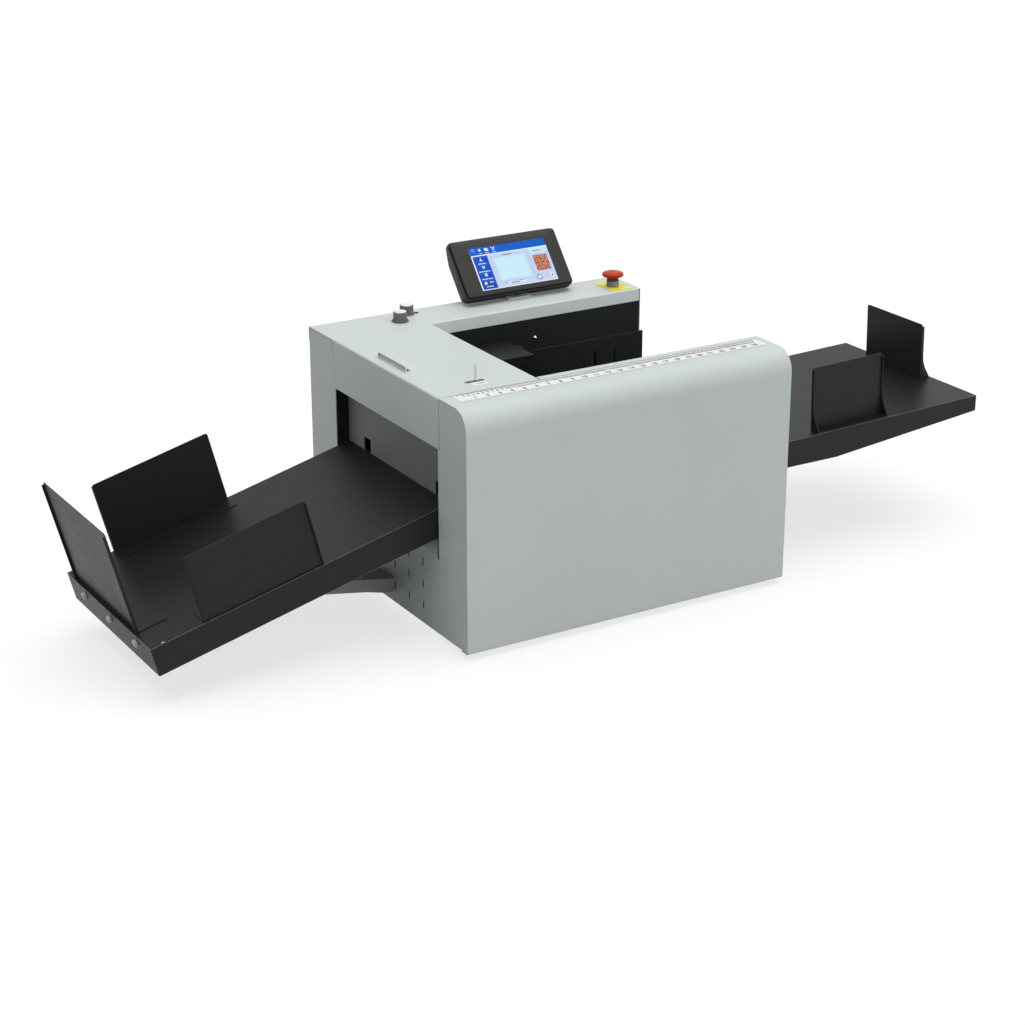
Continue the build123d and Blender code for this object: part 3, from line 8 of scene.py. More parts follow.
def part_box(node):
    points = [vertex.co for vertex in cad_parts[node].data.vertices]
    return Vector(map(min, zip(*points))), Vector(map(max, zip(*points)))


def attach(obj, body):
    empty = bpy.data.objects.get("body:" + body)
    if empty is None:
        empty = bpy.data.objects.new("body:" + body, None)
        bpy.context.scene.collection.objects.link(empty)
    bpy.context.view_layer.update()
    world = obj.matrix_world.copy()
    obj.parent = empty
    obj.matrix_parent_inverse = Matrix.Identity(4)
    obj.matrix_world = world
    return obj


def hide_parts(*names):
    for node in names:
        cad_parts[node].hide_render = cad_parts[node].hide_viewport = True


bl_info = {
    "name": "Desktop Paper Creasing Machine",
    "version": (1, 0, 0),
    "blender": (4, 5, 0),
    "location": "View3D > Sidebar > Creaser",
    "description": "Finishes, printing and small hardware of a desktop paper creasing machine",
    "category": "Object",
}

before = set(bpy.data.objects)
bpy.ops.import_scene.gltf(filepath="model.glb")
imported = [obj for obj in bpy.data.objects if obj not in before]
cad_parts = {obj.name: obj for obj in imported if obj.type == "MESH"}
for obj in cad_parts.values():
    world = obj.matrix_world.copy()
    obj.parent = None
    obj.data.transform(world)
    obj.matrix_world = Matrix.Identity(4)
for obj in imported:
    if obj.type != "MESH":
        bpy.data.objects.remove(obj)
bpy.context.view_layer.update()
MM = 0.001
NODE_STEP = 220
WHITE = (1.0, 1.0, 1.0, 1.0)
SHARP_EDGE = math.radians(32)
# A capital's height as a share of its font's size.
CAP_HEIGHT = 0.69
# Millimetres, except the slope.
INCH = 25.4
PRINT_LIFT = 0.06
WELD = 0.01
HINGE_NOTCH = 56, 116
BACK_START, BACK_SLOPE = 17.0, 2.75


# ---------------------------------------------------------------- settings
def tint(name, description, default):
    return bpy.props.FloatVectorProperty(
        name=name, description=description, default=default, size=3, min=0.0, max=1.0, subtype="COLOR"
    )


def length(name, description, default):
    return bpy.props.FloatProperty(
        name=name, description=description, default=default, min=0.0, unit="LENGTH", subtype="DISTANCE"
    )


def share(name, description, default, high=1.0):
    return bpy.props.FloatProperty(name=name, description=description, default=default, min=0.0, max=high)


class CreaserColours(bpy.types.PropertyGroup):
    cover: tint("Covers", "Powder coat of the covers and the hood", (0.575, 0.622, 0.622))
    tray: tint("Trays", "Black powder coat of the trays, guides and linings", (0.0110, 0.0110, 0.0115))
    lining: tint("Linings", "Black powder coat of the linings and the frames", (0.0085, 0.0092, 0.0108))
    wall: tint("Stacker wall", "Grey powder coat of the stacker wall", (0.22, 0.23, 0.23))
    strut: tint("Strut", "Grey powder coat of the strut under the tray", (0.31, 0.32, 0.32))
    steel: tint("Bright steel", "Ground shafts, rollers and rods", (0.60, 0.61, 0.62))
    plated: tint("Plated steel", "Zinc-plated base pan and beams", (0.52, 0.53, 0.53))
    tool: tint("Tool steel", "Creasing blade, matrix, beam and cams", (0.33, 0.34, 0.35))
    rubber: tint("Rubber", "Tyres, belt and feet", (0.018, 0.018, 0.018))
    plastic: tint("Black plastic", "Stand, inlet and switch", (0.022, 0.022, 0.022))
    display: tint("Display front", "Moulded front plate of the display", (0.012, 0.0108, 0.0108))
    shell: tint("Display shell", "Moulded shell behind the display's front plate", (0.009, 0.009, 0.009))
    knob: tint("Knobs", "Ribbed turning knobs", (0.150, 0.150, 0.152))
    cap: tint("Knob caps", "Domed caps of the knobs", (0.74, 0.75, 0.75))
    handle: tint("Hood handle", "Moulded grip of the hood", (0.56, 0.60, 0.60))
    stop: tint("Stop button", "Mushroom head of the emergency stop", (0.49, 0.052, 0.008))
    plate: tint("Stop plate", "Yellow plate under the emergency stop", (0.99, 0.91, 0.040))
    collar: tint("Stop collar", "Grey collar of the emergency stop", (0.22, 0.21, 0.235))
    ruler: tint("Ruler", "White strip of the ruler", (0.80, 0.81, 0.81))
    ink: tint("Ink", "Printed marks and numbers", (0.012, 0.012, 0.014))
    housing: tint("Inner housings", "Motors, blower and electronics boxes", (0.16, 0.17, 0.18))


class CreaserScreen(bpy.types.PropertyGroup):
    header: tint("Header", "Bar along the top of the screen", (0.005, 0.128, 0.67))
    column: tint("Menu column", "Column of menu symbols", (0.004, 0.098, 0.62))
    field: tint("Field", "Pale background of the screen", (0.56, 0.67, 0.91))
    page: tint("Page", "Preview of the sheet", (0.61, 0.89, 1.0))
    start: tint("Start field", "Textured square on the right", (0.40, 0.115, 0.068))
    glow: share("Glow", "Brightness of the lit screen", 0.95, 4.0)


class CreaserHardware(bpy.types.PropertyGroup):
    tray_screw: length("Tray screw radius", "Head radius of the screws in the tray's end", 7 * MM)
    cover_screw: length("Cover screw radius", "Head radius of the screws in the rear panel", 4 * MM)
    number_height: length("Number height", "Height of the ruler's numbers", 7.0 * MM)
    ruler_margin: length("Ruler margin", "Blank length before the first mark", 8 * MM)
    sill_height: length("Sill height", "Lower edge of the exit window above the panel's foot", 148 * MM)


class CreaserStudio(bpy.types.PropertyGroup):
    camera: bpy.props.FloatVectorProperty(
        name="Camera", description="Place of the camera", default=(-2.1954, -3.6074, 1.7669), size=3,
        subtype="TRANSLATION", unit="LENGTH",
    )
    heading: bpy.props.FloatProperty(
        name="Heading", description="Turn of the view from straight on", default=math.radians(30.94),
        subtype="ANGLE", unit="ROTATION",
    )
    dip: bpy.props.FloatProperty(
        name="Dip", description="Downward tilt of the view", default=math.radians(21.37),
        subtype="ANGLE", unit="ROTATION",
    )
    focal: bpy.props.FloatProperty(
        name="Focal length", description="Lens in millimetres", default=81.07, min=1.0,
    )
    floor: tint("Floor", "Colour of the floor", (0.50, 0.50, 0.50))
    floor_shade: share("Floor shade", "Depth of the shadows that the camera sees on the floor", 0.64)
    floor_reach: length("Floor reach", "Half the side of the floor", 90.0)
    key: share("Key level", "Level of the large lamp overhead", 0.655, 4.0)
    front: share("Front level", "Level of the lamp on the operator's side", 0.26, 4.0)
    room: share("Room level", "Level of the light from all round", 0.325, 4.0)


# ---------------------------------------------------------------- shader sums
def socket_named(sockets, key):
    """Finds a socket by its place, its identifier or its name."""
    if isinstance(key, int):
        return sockets[key]
    for socket in sockets:
        if socket.identifier == key:
            return socket
    return sockets[key]


class Wire:
    """A socket of a shader that takes part in ordinary sums."""

    def __init__(self, tree, socket=None):
        self.tree = tree
        self.socket = socket

    def node(self, kind, settings=None, inputs=None, output=0):
        """Adds a node: first its settings, then its sockets' values or links."""
        made = self.tree.nodes.new(kind)
        made.location = (NODE_STEP * len(self.tree.nodes), 0)
        for name, value in (settings or {}).items():
            setattr(made, name, value)
        for key, value in (inputs or {}).items():
            target = socket_named(made.inputs, key)
            if isinstance(value, Wire):
                self.tree.links.new(value.socket, target)
            elif target.type == "RGBA" and len(value) == 3:
                target.default_value = (*value, 1.0)
            else:
                target.default_value = value
        return Wire(self.tree, socket_named(made.outputs, output))

    def sum(self, operation, *values, clamp=False):
        settings = {"operation": operation, "use_clamp": clamp}
        return self.node("ShaderNodeMath", settings, dict(enumerate(values)))

    def __add__(self, other):
        return self.sum("ADD", self, other)

    def __radd__(self, other):
        return self.sum("ADD", other, self)

    def __sub__(self, other):
        return self.sum("SUBTRACT", self, other)

    def __rsub__(self, other):
        return self.sum("SUBTRACT", other, self)

    def __mul__(self, other):
        return self.sum("MULTIPLY", self, other)

    def __truediv__(self, other):
        return self.sum("DIVIDE", self, other)

    def __gt__(self, other):
        return self.sum("GREATER_THAN", self, other)

    def __lt__(self, other):
        return self.sum("LESS_THAN", self, other)

    def along(self, axis):
        """A point's X, Y or Z."""
        return self.node("ShaderNodeSeparateXYZ", {}, {"Vector": self}, axis)

    def limited(self):
        """The value held between 0 and 1."""
        return self.sum("MULTIPLY", self, 1.0, clamp=True)

    def blend(self, low, high):
        """A colour between two others, at this share."""
        low = low if isinstance(low, Wire) else (*low, 1.0)
        high = high if isinstance(high, Wire) else (*high, 1.0)
        settings = {"data_type": "RGBA", "clamp_factor": True}
        inputs = {"Factor_Float": self, "A_Color": low, "B_Color": high}
        return self.node("ShaderNodeMix", settings, inputs, "Result_Color")

    def shade(self, colour, low, high):
        """A colour between a darker and a lighter shade of itself, at this share."""
        return self.blend(scaled(colour, low), scaled(colour, high))


def scaled(colour, factor):
    return tuple(min(1.0, part * factor) for part in colour)


def stretched(place, scale):
    """The point with each direction scaled, for marks that run one way."""
    return place.node("ShaderNodeMapping", {}, {"Vector": place, "Scale": scale})


def noise(place, scale, detail=2.0, roughness=0.5):
    inputs = {"Vector": place, "Scale": scale, "Detail": detail, "Roughness": roughness}
    return place.node("ShaderNodeTexNoise", {"noise_dimensions": "3D"}, inputs, "Fac")


def cells(place, scale, output="Distance"):
    return place.node("ShaderNodeTexVoronoi", {"feature": "F1"}, {"Vector": place, "Scale": scale}, output)


def bumped(height, depth, strength):
    return height.node("ShaderNodeBump", {}, {"Strength": strength, "Distance": depth, "Height": height})


def edge_wear(place, reach):
    """1 along the piece's edges and 0 on its flats; a mask for rubbed edges, and on the trays for a painted
    edge highlight.
    """
    soft = place.node("ShaderNodeBevel", {"samples": 4}, {"Radius": reach})
    hard = place.node("ShaderNodeNewGeometry", output="True Normal")
    turned_by = place.node("ShaderNodeVectorMath", {"operation": "DOT_PRODUCT"}, {0: soft, 1: hard}, "Value")
    return ((1.0 - turned_by) * 6.0).limited()


def close(colour, roughness, normal, **constants):
    """Ends a material with its shader. Constants are the same all over the piece."""
    inputs = {"Base Color": colour, "Roughness": roughness, "Normal": normal}
    inputs.update({name.replace("_", " "): value for name, value in constants.items()})
    end(normal.node("ShaderNodeBsdfPrincipled", {}, inputs, "BSDF"))


def end(shader, kind="ShaderNodeOutputMaterial"):
    output = shader.tree.nodes.new(kind)
    output.location = (NODE_STEP * len(shader.tree.nodes), 0)
    shader.tree.links.new(shader.socket, output.inputs["Surface"])


def as_material(build):
    """Makes a material by name with a function that starts from the point on the piece, in metres."""

    def made(name, *values, **settings):
        material = bpy.data.materials.new(name)
        material.use_nodes = True
        material.node_tree.nodes.clear()
        build(Wire(material.node_tree).node("ShaderNodeTexCoord", output="Object"), *values, **settings)
        return material

    return made


# ---------------------------------------------------------------- finishes
@as_material
def powder_coat(place, colour, roughness=0.52, pebble=0.10, wear=0.25, specular=0.4, fade=None):
    """Baked powder coat: a pebbled film, slow drifts of tone and paler rubbed edges.

    A painted shading is an axis, the places where it starts and ends, and the brightness it reaches: the
    colour fades along that axis into a lighter or darker copy, a painted highlight or a painted shadow."""
    drift = noise(place, 5.0, 3.0)
    handling = noise(place, 31.0, 5.0, 0.62)
    skin = noise(place, 760.0, 2.0)
    specks = cells(place, 1500.0)
    tone = drift.shade(colour, 0.965, 1.035)
    tone = (handling * 0.10).blend(tone, scaled(colour, 0.82))
    tone = ((specks < 0.22) * 0.10).blend(tone, scaled(colour, 1.5))
    # Painted shading: along the given axis the colour fades into a brighter copy (painted highlight) or a
    # darker copy (painted shadow).
    if fade is not None:
        axis, low, high, depth = fade
        tone = ((place.along(axis) - low) / (high - low)).limited().blend(tone, scaled(colour, depth))
    rubbed = edge_wear(place, 0.7 * MM) * noise(place, 55.0, 3.0)
    tone = (rubbed * wear).blend(tone, tuple(part * 0.5 + 0.28 for part in colour))
    gloss = roughness + (drift - 0.5) * 0.10 + (handling - 0.5) * 0.14 - rubbed * 0.12
    film = skin * 0.75 + specks * 0.25
    close(tone, gloss, bumped(film, 0.12 * MM, pebble), Specular_IOR_Level=specular)


@as_material
def tray_coat(place, colour, run=(3.0, 240.0, 240.0), edge_highlight=0.50):
    """Black powder coat that paper slides over: faint polished streaks along its run, a painted highlight
    along its edges and side faces painted lighter than the tops.
    """
    drift = noise(place, 6.0, 3.0)
    streaks = noise(stretched(place, run), 1.0, 4.0, 0.6)
    skin = noise(place, 820.0, 2.0)
    dust = noise(place, 95.0, 6.0, 0.7)
    edges = edge_wear(place, 1.1 * MM)
    tone = drift.shade(colour, 0.85, 1.18)
    tone = (((dust - 0.56) * 5.0).limited() * 0.06).blend(tone, (0.13, 0.13, 0.125))
    tone = ((streaks - 0.45).limited() * 0.22).blend(tone, scaled(colour, 2.2))
    # Painted shading: faces that don't face up get a lighter copy of the colour, for the way the lamps fall
    # on the sides.
    facing_up = place.node("ShaderNodeNewGeometry", output="Normal").along("Z")
    tone = (1.0 - facing_up * 1.4).limited().blend(tone, scaled(colour, 2.2))
    # Painted highlight: the edges are blended towards a grey, the light that a bent edge would catch, painted
    # in.
    tone = (edges * (0.65 + dust * 0.4)).blend(tone, (edge_highlight, edge_highlight, edge_highlight))
    gloss = 0.40 + (drift - 0.5) * 0.10 - (streaks - 0.5) * 0.20 - edges * 0.06
    close(tone, gloss, bumped(skin, 0.10 * MM, 0.14), Specular_IOR_Level=0.13)


@as_material
def ground_steel(place, colour, run, roughness=0.26):
    """Ground steel with the fine marks of the wheel across its run and a film of oil."""
    marks = noise(stretched(place, run), 1.0, 3.0, 0.6)
    film = noise(place, 24.0, 4.0)
    tone = marks.shade(colour, 0.82, 1.12)
    tone = (film * 0.25).blend(tone, scaled(colour, 0.72))
    gloss = roughness + (marks - 0.5) * 0.16 + (film - 0.5) * 0.12
    close(tone, gloss, bumped(marks, 0.05 * MM, 0.25), Metallic=1.0)


@as_material
def plated_steel(place, colour):
    """Zinc plate: a faint crystalline spangle with a warm and a cool cast."""
    crystal = place.node("ShaderNodeSeparateColor", {}, {"Color": cells(place, 120.0, "Color")}, "Red")
    cast = noise(place, 9.0, 3.0)
    warm = (colour[0] * 1.05, colour[1] * 1.0, colour[2] * 0.90)
    cool = (colour[0] * 0.92, colour[1] * 0.98, colour[2] * 1.08)
    tone = cast.blend(cool, warm)
    tone = (crystal * 0.22).blend(tone, scaled(colour, 0.72))
    gloss = 0.34 + crystal * 0.12 + (cast - 0.5) * 0.10
    fine = noise(place, 1400.0, 2.0)
    close(tone, gloss, bumped(fine, 0.04 * MM, 0.2), Metallic=1.0)


@as_material
def rubber(place, colour, dusty=0.35):
    """Moulded rubber, ground on its outside, with a bloom of paper dust."""
    grain = noise(place, 1300.0, 3.0)
    bloom = noise(place, 70.0, 6.0, 0.65)
    tone = grain.shade(colour, 0.7, 1.4)
    tone = (((bloom - 0.5) * 2.2).limited() * dusty).blend(tone, (0.14, 0.135, 0.13))
    close(tone, 0.78 + (bloom - 0.5) * 0.2, bumped(grain, 0.12 * MM, 0.35))


@as_material
def moulded(place, colour, roughness=0.45, grain=1500.0, depth=0.12, wear=0.18, specular=0.45):
    """Moulded plastic with a spark-eroded grain and edges worn smoother."""
    pits = cells(place, grain)
    drift = noise(place, 14.0, 3.0)
    touch = noise(place, 60.0, 4.0, 0.6)
    edges = edge_wear(place, 0.6 * MM)
    tone = drift.shade(colour, 0.9, 1.1)
    tone = (pits * 0.25).blend(tone, scaled(colour, 1.35))
    tone = (edges * wear).blend(tone, tuple(part * 0.6 + 0.10 for part in colour))
    gloss = roughness + (touch - 0.5) * 0.16 + pits * 0.06 - edges * 0.10
    close(tone, gloss, bumped(pits, 0.10 * MM, depth), Specular_IOR_Level=specular)


@as_material
def glossy_plastic(place, colour, coat=0.5, specular=0.5):
    """Smooth moulded plastic with light scuffs in its gloss."""
    scuffs = noise(stretched(place, (60.0, 900.0, 300.0)), 1.0, 5.0, 0.7)
    drift = noise(place, 40.0, 3.0)
    edges = edge_wear(place, 0.5 * MM)
    tone = drift.shade(colour, 0.93, 1.05)
    tone = (edges * 0.15).blend(tone, tuple(part * 0.7 + 0.16 for part in colour))
    gloss = 0.30 + (scuffs - 0.5) * 0.22 + (drift - 0.5) * 0.08
    swell = noise(place, 240.0, 2.0)
    close(
        tone, gloss, bumped(swell, 0.05 * MM, 0.08),
        Coat_Weight=coat, Coat_Roughness=0.12, Specular_IOR_Level=specular,
    )


@as_material
def printed(place, colour, fleck=0.5):
    """Screen-printed ink or foil: slightly uneven cover over its ground."""
    cover = noise(place, 1900.0, 3.0)
    drift = noise(place, 22.0, 3.0)
    lighter = tuple(part * 0.8 + 0.2 * 0.55 for part in colour)
    tone = drift.shade(colour, 0.95, 1.04)
    tone = (((cover - 0.58) * 4.0).limited() * fleck * 0.4).blend(tone, lighter)
    close(tone, 0.42 + (cover - 0.5) * 0.12, bumped(cover, 0.02 * MM, 0.15))


def inside(value, low, high):
    """1 where a value lies between two bounds."""
    return (value > low) * (value < high)


@as_material
def screen_picture(place, screen, low, high):
    """Lit touch screen: header, menu column, field, page and start field."""
    across = (place.along("X") - low.x) / (high.x - low.x)
    down = 1.0 - (place.along("Z") - low.z) / (high.z - low.z)
    soft = noise(place, 60.0, 2.0)
    lit = soft.blend(screen.field, scaled(screen.field, 1.07))

    def area(left, right, top, bottom):
        return inside(across, left, right) * inside(down, top, bottom)

    white = (0.93, 0.95, 1.0)
    lit = (area(0.245, 0.74, 0.27, 0.86) * 0.6).blend(lit, (0.50, 0.62, 0.86))
    lit = area(0.262, 0.70, 0.285, 0.835).blend(lit, (0.62, 0.78, 0.93))
    lit = area(0.285, 0.665, 0.312, 0.795).blend(lit, screen.page)
    lit = area(0.755, 0.985, 0.20, 0.315).blend(lit, (0.58, 0.86, 0.92))
    lit = (area(0.0, 1.0, 0.178, 0.198) + area(0.0, 0.014, 0.178, 1.0)).blend(lit, white)
    lit = area(0.0, 1.0, 0.975, 1.0).blend(lit, white)
    menu = area(0.014, 0.205, 0.205, 0.975)
    lit = menu.blend(lit, down.blend(screen.column, scaled(screen.column, 0.8)))
    for parting in (0.395, 0.585, 0.765):
        lit = (menu * area(0.02, 0.2, parting, parting + 0.006)).blend(lit, (0.12, 0.30, 0.80))
    lit = area(0.0, 1.0, 0.0, 0.178).blend(lit, across.blend(screen.header, scaled(screen.header, 0.85)))
    grid = place.node("ShaderNodeVectorMath", {"operation": "SNAP"}, {0: place, 1: (2.3 * MM,) * 3})
    block = place.node("ShaderNodeTexWhiteNoise", {"noise_dimensions": "3D"}, {"Vector": grid}, "Value")
    pattern = block.shade(screen.start, 0.75, 1.5)
    pattern = ((block > 0.72) * noise(place, 420.0, 2.0)).blend(pattern, (0.80, 0.46, 0.33))
    lit = area(0.775, 0.962, 0.37, 0.735).blend(lit, pattern)
    smears = noise(place, 28.0, 5.0, 0.65)
    normal = bumped(smears, 0.01 * MM, 0.1)
    close(
        (0.003, 0.003, 0.004), 0.12 + smears * 0.14, normal,
        Emission_Color=lit, Emission_Strength=screen.glow, Specular_IOR_Level=0.08,
    )


@as_material
def glow_paint(place, colour, strength):
    """Symbols of the lit screen."""
    dots = cells(place, 2600.0)
    lit = (dots * 0.5).blend(colour, scaled(colour, 0.86))
    normal = bumped(dots, 0.01 * MM, 0.05)
    close(
        (0.003, 0.003, 0.004), 0.2 + dots * 0.05, normal,
        Emission_Color=lit, Emission_Strength=strength, Specular_IOR_Level=0.08,
    )


def seen(start):
    """1 for what the camera sees, straight, mirrored or through glass."""
    rays = ("Is Camera Ray", "Is Glossy Ray", "Is Transmission Ray")
    straight, mirrored, through = (start.node("ShaderNodeLightPath", output=ray) for ray in rays)
    return (straight + mirrored + through).limited()


@as_material
def floor_paint(place, colour, shade):
    """A matt floor that shows the camera white with softened shadows."""
    tone = noise(place, 2.0, 2.0).shade(colour, 0.995, 1.005)
    matt = place.node("ShaderNodeBsdfDiffuse", {}, {"Color": tone}, "BSDF")
    shadowed = place.node("ShaderNodeBsdfDiffuse", {}, {"Color": scaled(colour, shade)}, "BSDF")
    strength = 1.03 - 0.50 * shade
    white = place.node("ShaderNodeEmission", {}, {"Color": WHITE, "Strength": strength}, "Emission")
    bright = place.node("ShaderNodeAddShader", {}, {0: shadowed, 1: white})
    end(place.node("ShaderNodeMixShader", {}, {0: seen(place), 1: matt, 2: bright}))


# ---------------------------------------------------------------- shapes
# Shapes are drawn in millimetres, and dressed() turns them into metres.
def box_mm(node):
    """A CAD node's lowest and highest corners at rest, in millimetres."""
    return [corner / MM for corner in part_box(node)]


def at(x, y, z=0.0):
    return Matrix.Translation((x, y, z))


def spin(degrees):
    return Matrix.Rotation(math.radians(degrees), 4, "Z")


def axes(origin, right, up, out):
    return Matrix.Translation(origin) @ Matrix((right, up, out)).transposed().to_4x4()


def facing(origin, out, right=Vector((0, 1, 0))):
    """Plane at a point that faces a way."""
    out = out.normalized()
    right = (right - out * right.dot(out)).normalized()
    return axes(origin, right, out.cross(right), out)


def dressed(name, shape, finish, body, smooth=True):
    """Makes a piece from a shape, gives it its finish and lets it ride on a body."""
    closed = [face for face in shape.faces if not face.edges[0].is_boundary]
    bmesh.ops.recalc_face_normals(shape, faces=closed)
    mesh = bpy.data.meshes.new(name)
    shape.to_mesh(mesh)
    shape.free()
    mesh.transform(Matrix.Scale(MM, 4))
    if smooth:
        mesh.polygons.foreach_set("use_smooth", [True] * len(mesh.polygons))
        mesh.set_sharp_from_angle(angle=SHARP_EDGE)
    piece = bpy.data.objects.new(name, mesh)
    bpy.context.scene.collection.objects.link(piece)
    mesh.materials.append(finish)
    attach(piece, body)
    return piece


def paint(nodes, finish):
    """Gives CAD nodes their finish."""
    for name in nodes:
        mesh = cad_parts[name].data
        mesh.materials.clear()
        mesh.materials.append(finish)


def round_spot(radius, angle):
    return radius * math.cos(angle), radius * math.sin(angle)


def flat_reach(radius, angle, sides):
    """Distance from the middle to a polygon's side at an angle; the radius is its corner's."""
    half = math.pi / sides
    return radius * math.cos(half) / math.cos((angle + half) % (2 * half) - half)


def ring(shape, place, steps, radius, height, sides=0):
    if radius == 0:
        return [shape.verts.new(place @ Vector((0, 0, height)))]
    points = []
    for step in range(steps):
        angle = 2 * math.pi * step / steps
        out = flat_reach(radius, angle, sides) if sides else radius
        points.append(shape.verts.new(place @ Vector((*round_spot(out, angle), height))))
    return points


def turned(shape, profile, place, steps=36):
    """Turns a profile of (radius, height) or (radius, height, sides) about the local z axis."""
    rings = [ring(shape, place, steps, *spot) for spot in profile]
    for low, high in zip(rings, rings[1:]):
        for step in range(steps):
            turns = (low, step), (low, step + 1), (high, step + 1), (high, step)
            corners = list(dict.fromkeys(points[turn % len(points)] for points, turn in turns))
            if len(corners) > 2:
                shape.faces.new(corners)


def patch(shape, outline, place, lift=0.0):
    """A flat printed shape on a plane."""
    shape.faces.new([shape.verts.new(place @ Vector((x, y, lift))) for x, y in outline])


def rectangle(left, right, low, high):
    return [(left, low), (right, low), (right, high), (left, high)]


def bar(shape, left, right, low, high, place, lift=0.0):
    patch(shape, rectangle(left, right, low, high), place, lift)


def loft(shape, loops, place, first=True, last=True):
    """Skins outlines of equally many (x, y, z) points, with a flat cap on either end."""
    rows = [[shape.verts.new(place @ Vector(spot)) for spot in loop] for loop in loops]
    if first:
        shape.faces.new(rows[0][::-1])
    if last:
        shape.faces.new(rows[-1])
    for low, high in zip(rows, rows[1:]):
        for i in range(len(low)):
            j = (i + 1) % len(low)
            shape.faces.new([low[i], low[j], high[j], high[i]])


def slab(shape, outline, low, high, place):
    """A flat piece with thickness from an outline."""
    loft(shape, [[(x, y, z) for x, y in outline] for z in (low, high)], place)


def weld(shape):
    bmesh.ops.remove_doubles(shape, verts=shape.verts, dist=WELD)


def arc_band(shape, inner, outer, start, stop, place, steps=48, lift=0.0):
    """A flat band along an arc, angles in degrees."""
    angles = [math.radians(start + (stop - start) * step / steps) for step in range(steps + 1)]
    for a, b in zip(angles, angles[1:]):
        corners = [round_spot(inner, a), round_spot(outer, a), round_spot(outer, b), round_spot(inner, b)]
        patch(shape, corners, place, lift)


def disc(shape, radius, place, lift=0.0, steps=28):
    patch(shape, [round_spot(radius, 2 * math.pi * step / steps) for step in range(steps)], place, lift)


def turned_piece(name, profile, place, steps, finish, body):
    shape = bmesh.new()
    turned(shape, profile, place, steps)
    return dressed(name, shape, finish, body)


def slab_piece(name, outlines, low, high, place, finish, body):
    shape = bmesh.new()
    for outline in outlines:
        slab(shape, outline, low, high, place)
    dressed(name, shape, finish, body, smooth=False)


def printed_piece(name, strips, place, finish, body):
    shape = bmesh.new()
    for strip in strips:
        bar(shape, *strip, place)
    dressed(name, shape, finish, body, smooth=False)


def framed(left, right, low, high, line):
    """Four strips along the inside of a rectangle's edge."""
    return [
        (left, right, low, low + line), (left, right, high - line, high),
        (left, left + line, low + line, high - line), (right - line, right, low + line, high - line),
    ]


def numeral(shape, text, height, place, bold=0.0):
    """A number's flat outline, centred on a plane's origin and swollen by a share of its height."""
    letters = bpy.data.curves.new("numeral", "FONT")
    letters.body = text
    letters.size = height / CAP_HEIGHT
    letters.offset = bold * height
    letters.align_x = "CENTER"
    letters.align_y = "CENTER"
    letters.resolution_u = 2
    carrier = bpy.data.objects.new("numeral", letters)
    flat = bpy.data.meshes.new_from_object(carrier)
    flat.transform(place)
    shape.from_mesh(flat)
    bpy.data.objects.remove(carrier)
    bpy.data.curves.remove(letters)
    bpy.data.meshes.remove(flat)


def plane_of(node):
    """Plane of a plate's front: origin at its lower left corner, x along the machine, z outwards."""
    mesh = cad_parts[node].data
    by_normal = {}
    for face in mesh.polygons:
        by_normal.setdefault(tuple(round(part, 3) for part in face.normal), []).append(face)
    fronts = {key: faces for key, faces in by_normal.items() if key[1] < 0.1 and key[2] > 0.1}
    normal, faces = max(fronts.items(), key=lambda item: sum(face.area for face in item[1]))
    out = Vector(normal).normalized()
    right = Vector((1, 0, 0))
    up = out.cross(right)
    corners = [mesh.vertices[i].co / MM for face in faces for i in face.vertices]
    reach = [(min(c.dot(way) for c in corners), max(c.dot(way) for c in corners)) for way in (right, up)]
    origin = right * reach[0][0] + up * reach[1][0] + out * corners[0].dot(out)
    return axes(origin, right, up, out), [high - low for low, high in reach]


def socket_screw(shape, radius, place):
    """Button-head screw with a hexagon socket on a thin washer; the profile is in head radii."""
    profile = [
        (1.10, 0.0), (1.10, 0.10), (1.01, 0.12), (1.0, 0.20), (0.98, 0.44), (0.90, 0.64), (0.76, 0.78),
        (0.56, 0.86), (0.40, 0.86, 6), (0.37, 0.80, 6), (0.37, 0.40, 6), (0.0, 0.32),
    ]
    turned(shape, profile, place @ Matrix.Scale(radius, 4))


def cross_screw(shape, radius, place):
    """Pan-head screw with a cross recess; the profile is in head radii."""
    head = place @ Matrix.Scale(radius, 4)
    turned(shape, [(1.0, 0.0), (1.0, 0.18), (0.90, 0.38), (0.66, 0.52), (0.0, 0.58)], head, 24)
    for turn in (0, 90):
        slab(shape, rectangle(-0.46, 0.46, -0.075, 0.075), 0.50, 0.60, head @ spin(turn))


# ---------------------------------------------------------------- finishes of the frame's pieces
COVERS = ("front_cover", "left_end_panel", "right_end_panel", "rear_panel", "display_stand")
TRAYS = ("delivery_tray", "feed_bed")
LININGS = (
    "paper_deck", "near_side_frame", "far_side_frame", "throat_near_lining", "upper_rear_lining",
    "side_lay_panel", "feed_head_cover",
)
GUIDES = (
    "delivery_near_guide", "delivery_far_guide", "delivery_end_stop", "feed_side_guide", "feed_end_stop",
)
ROLLERS = (
    "infeed_lower_shaft", "infeed_upper_roller", "outfeed_lower_shaft", "outfeed_upper_roller",
    "suction_drum", "tie_bars", "shaft_bearings", "motor_pulley",
)


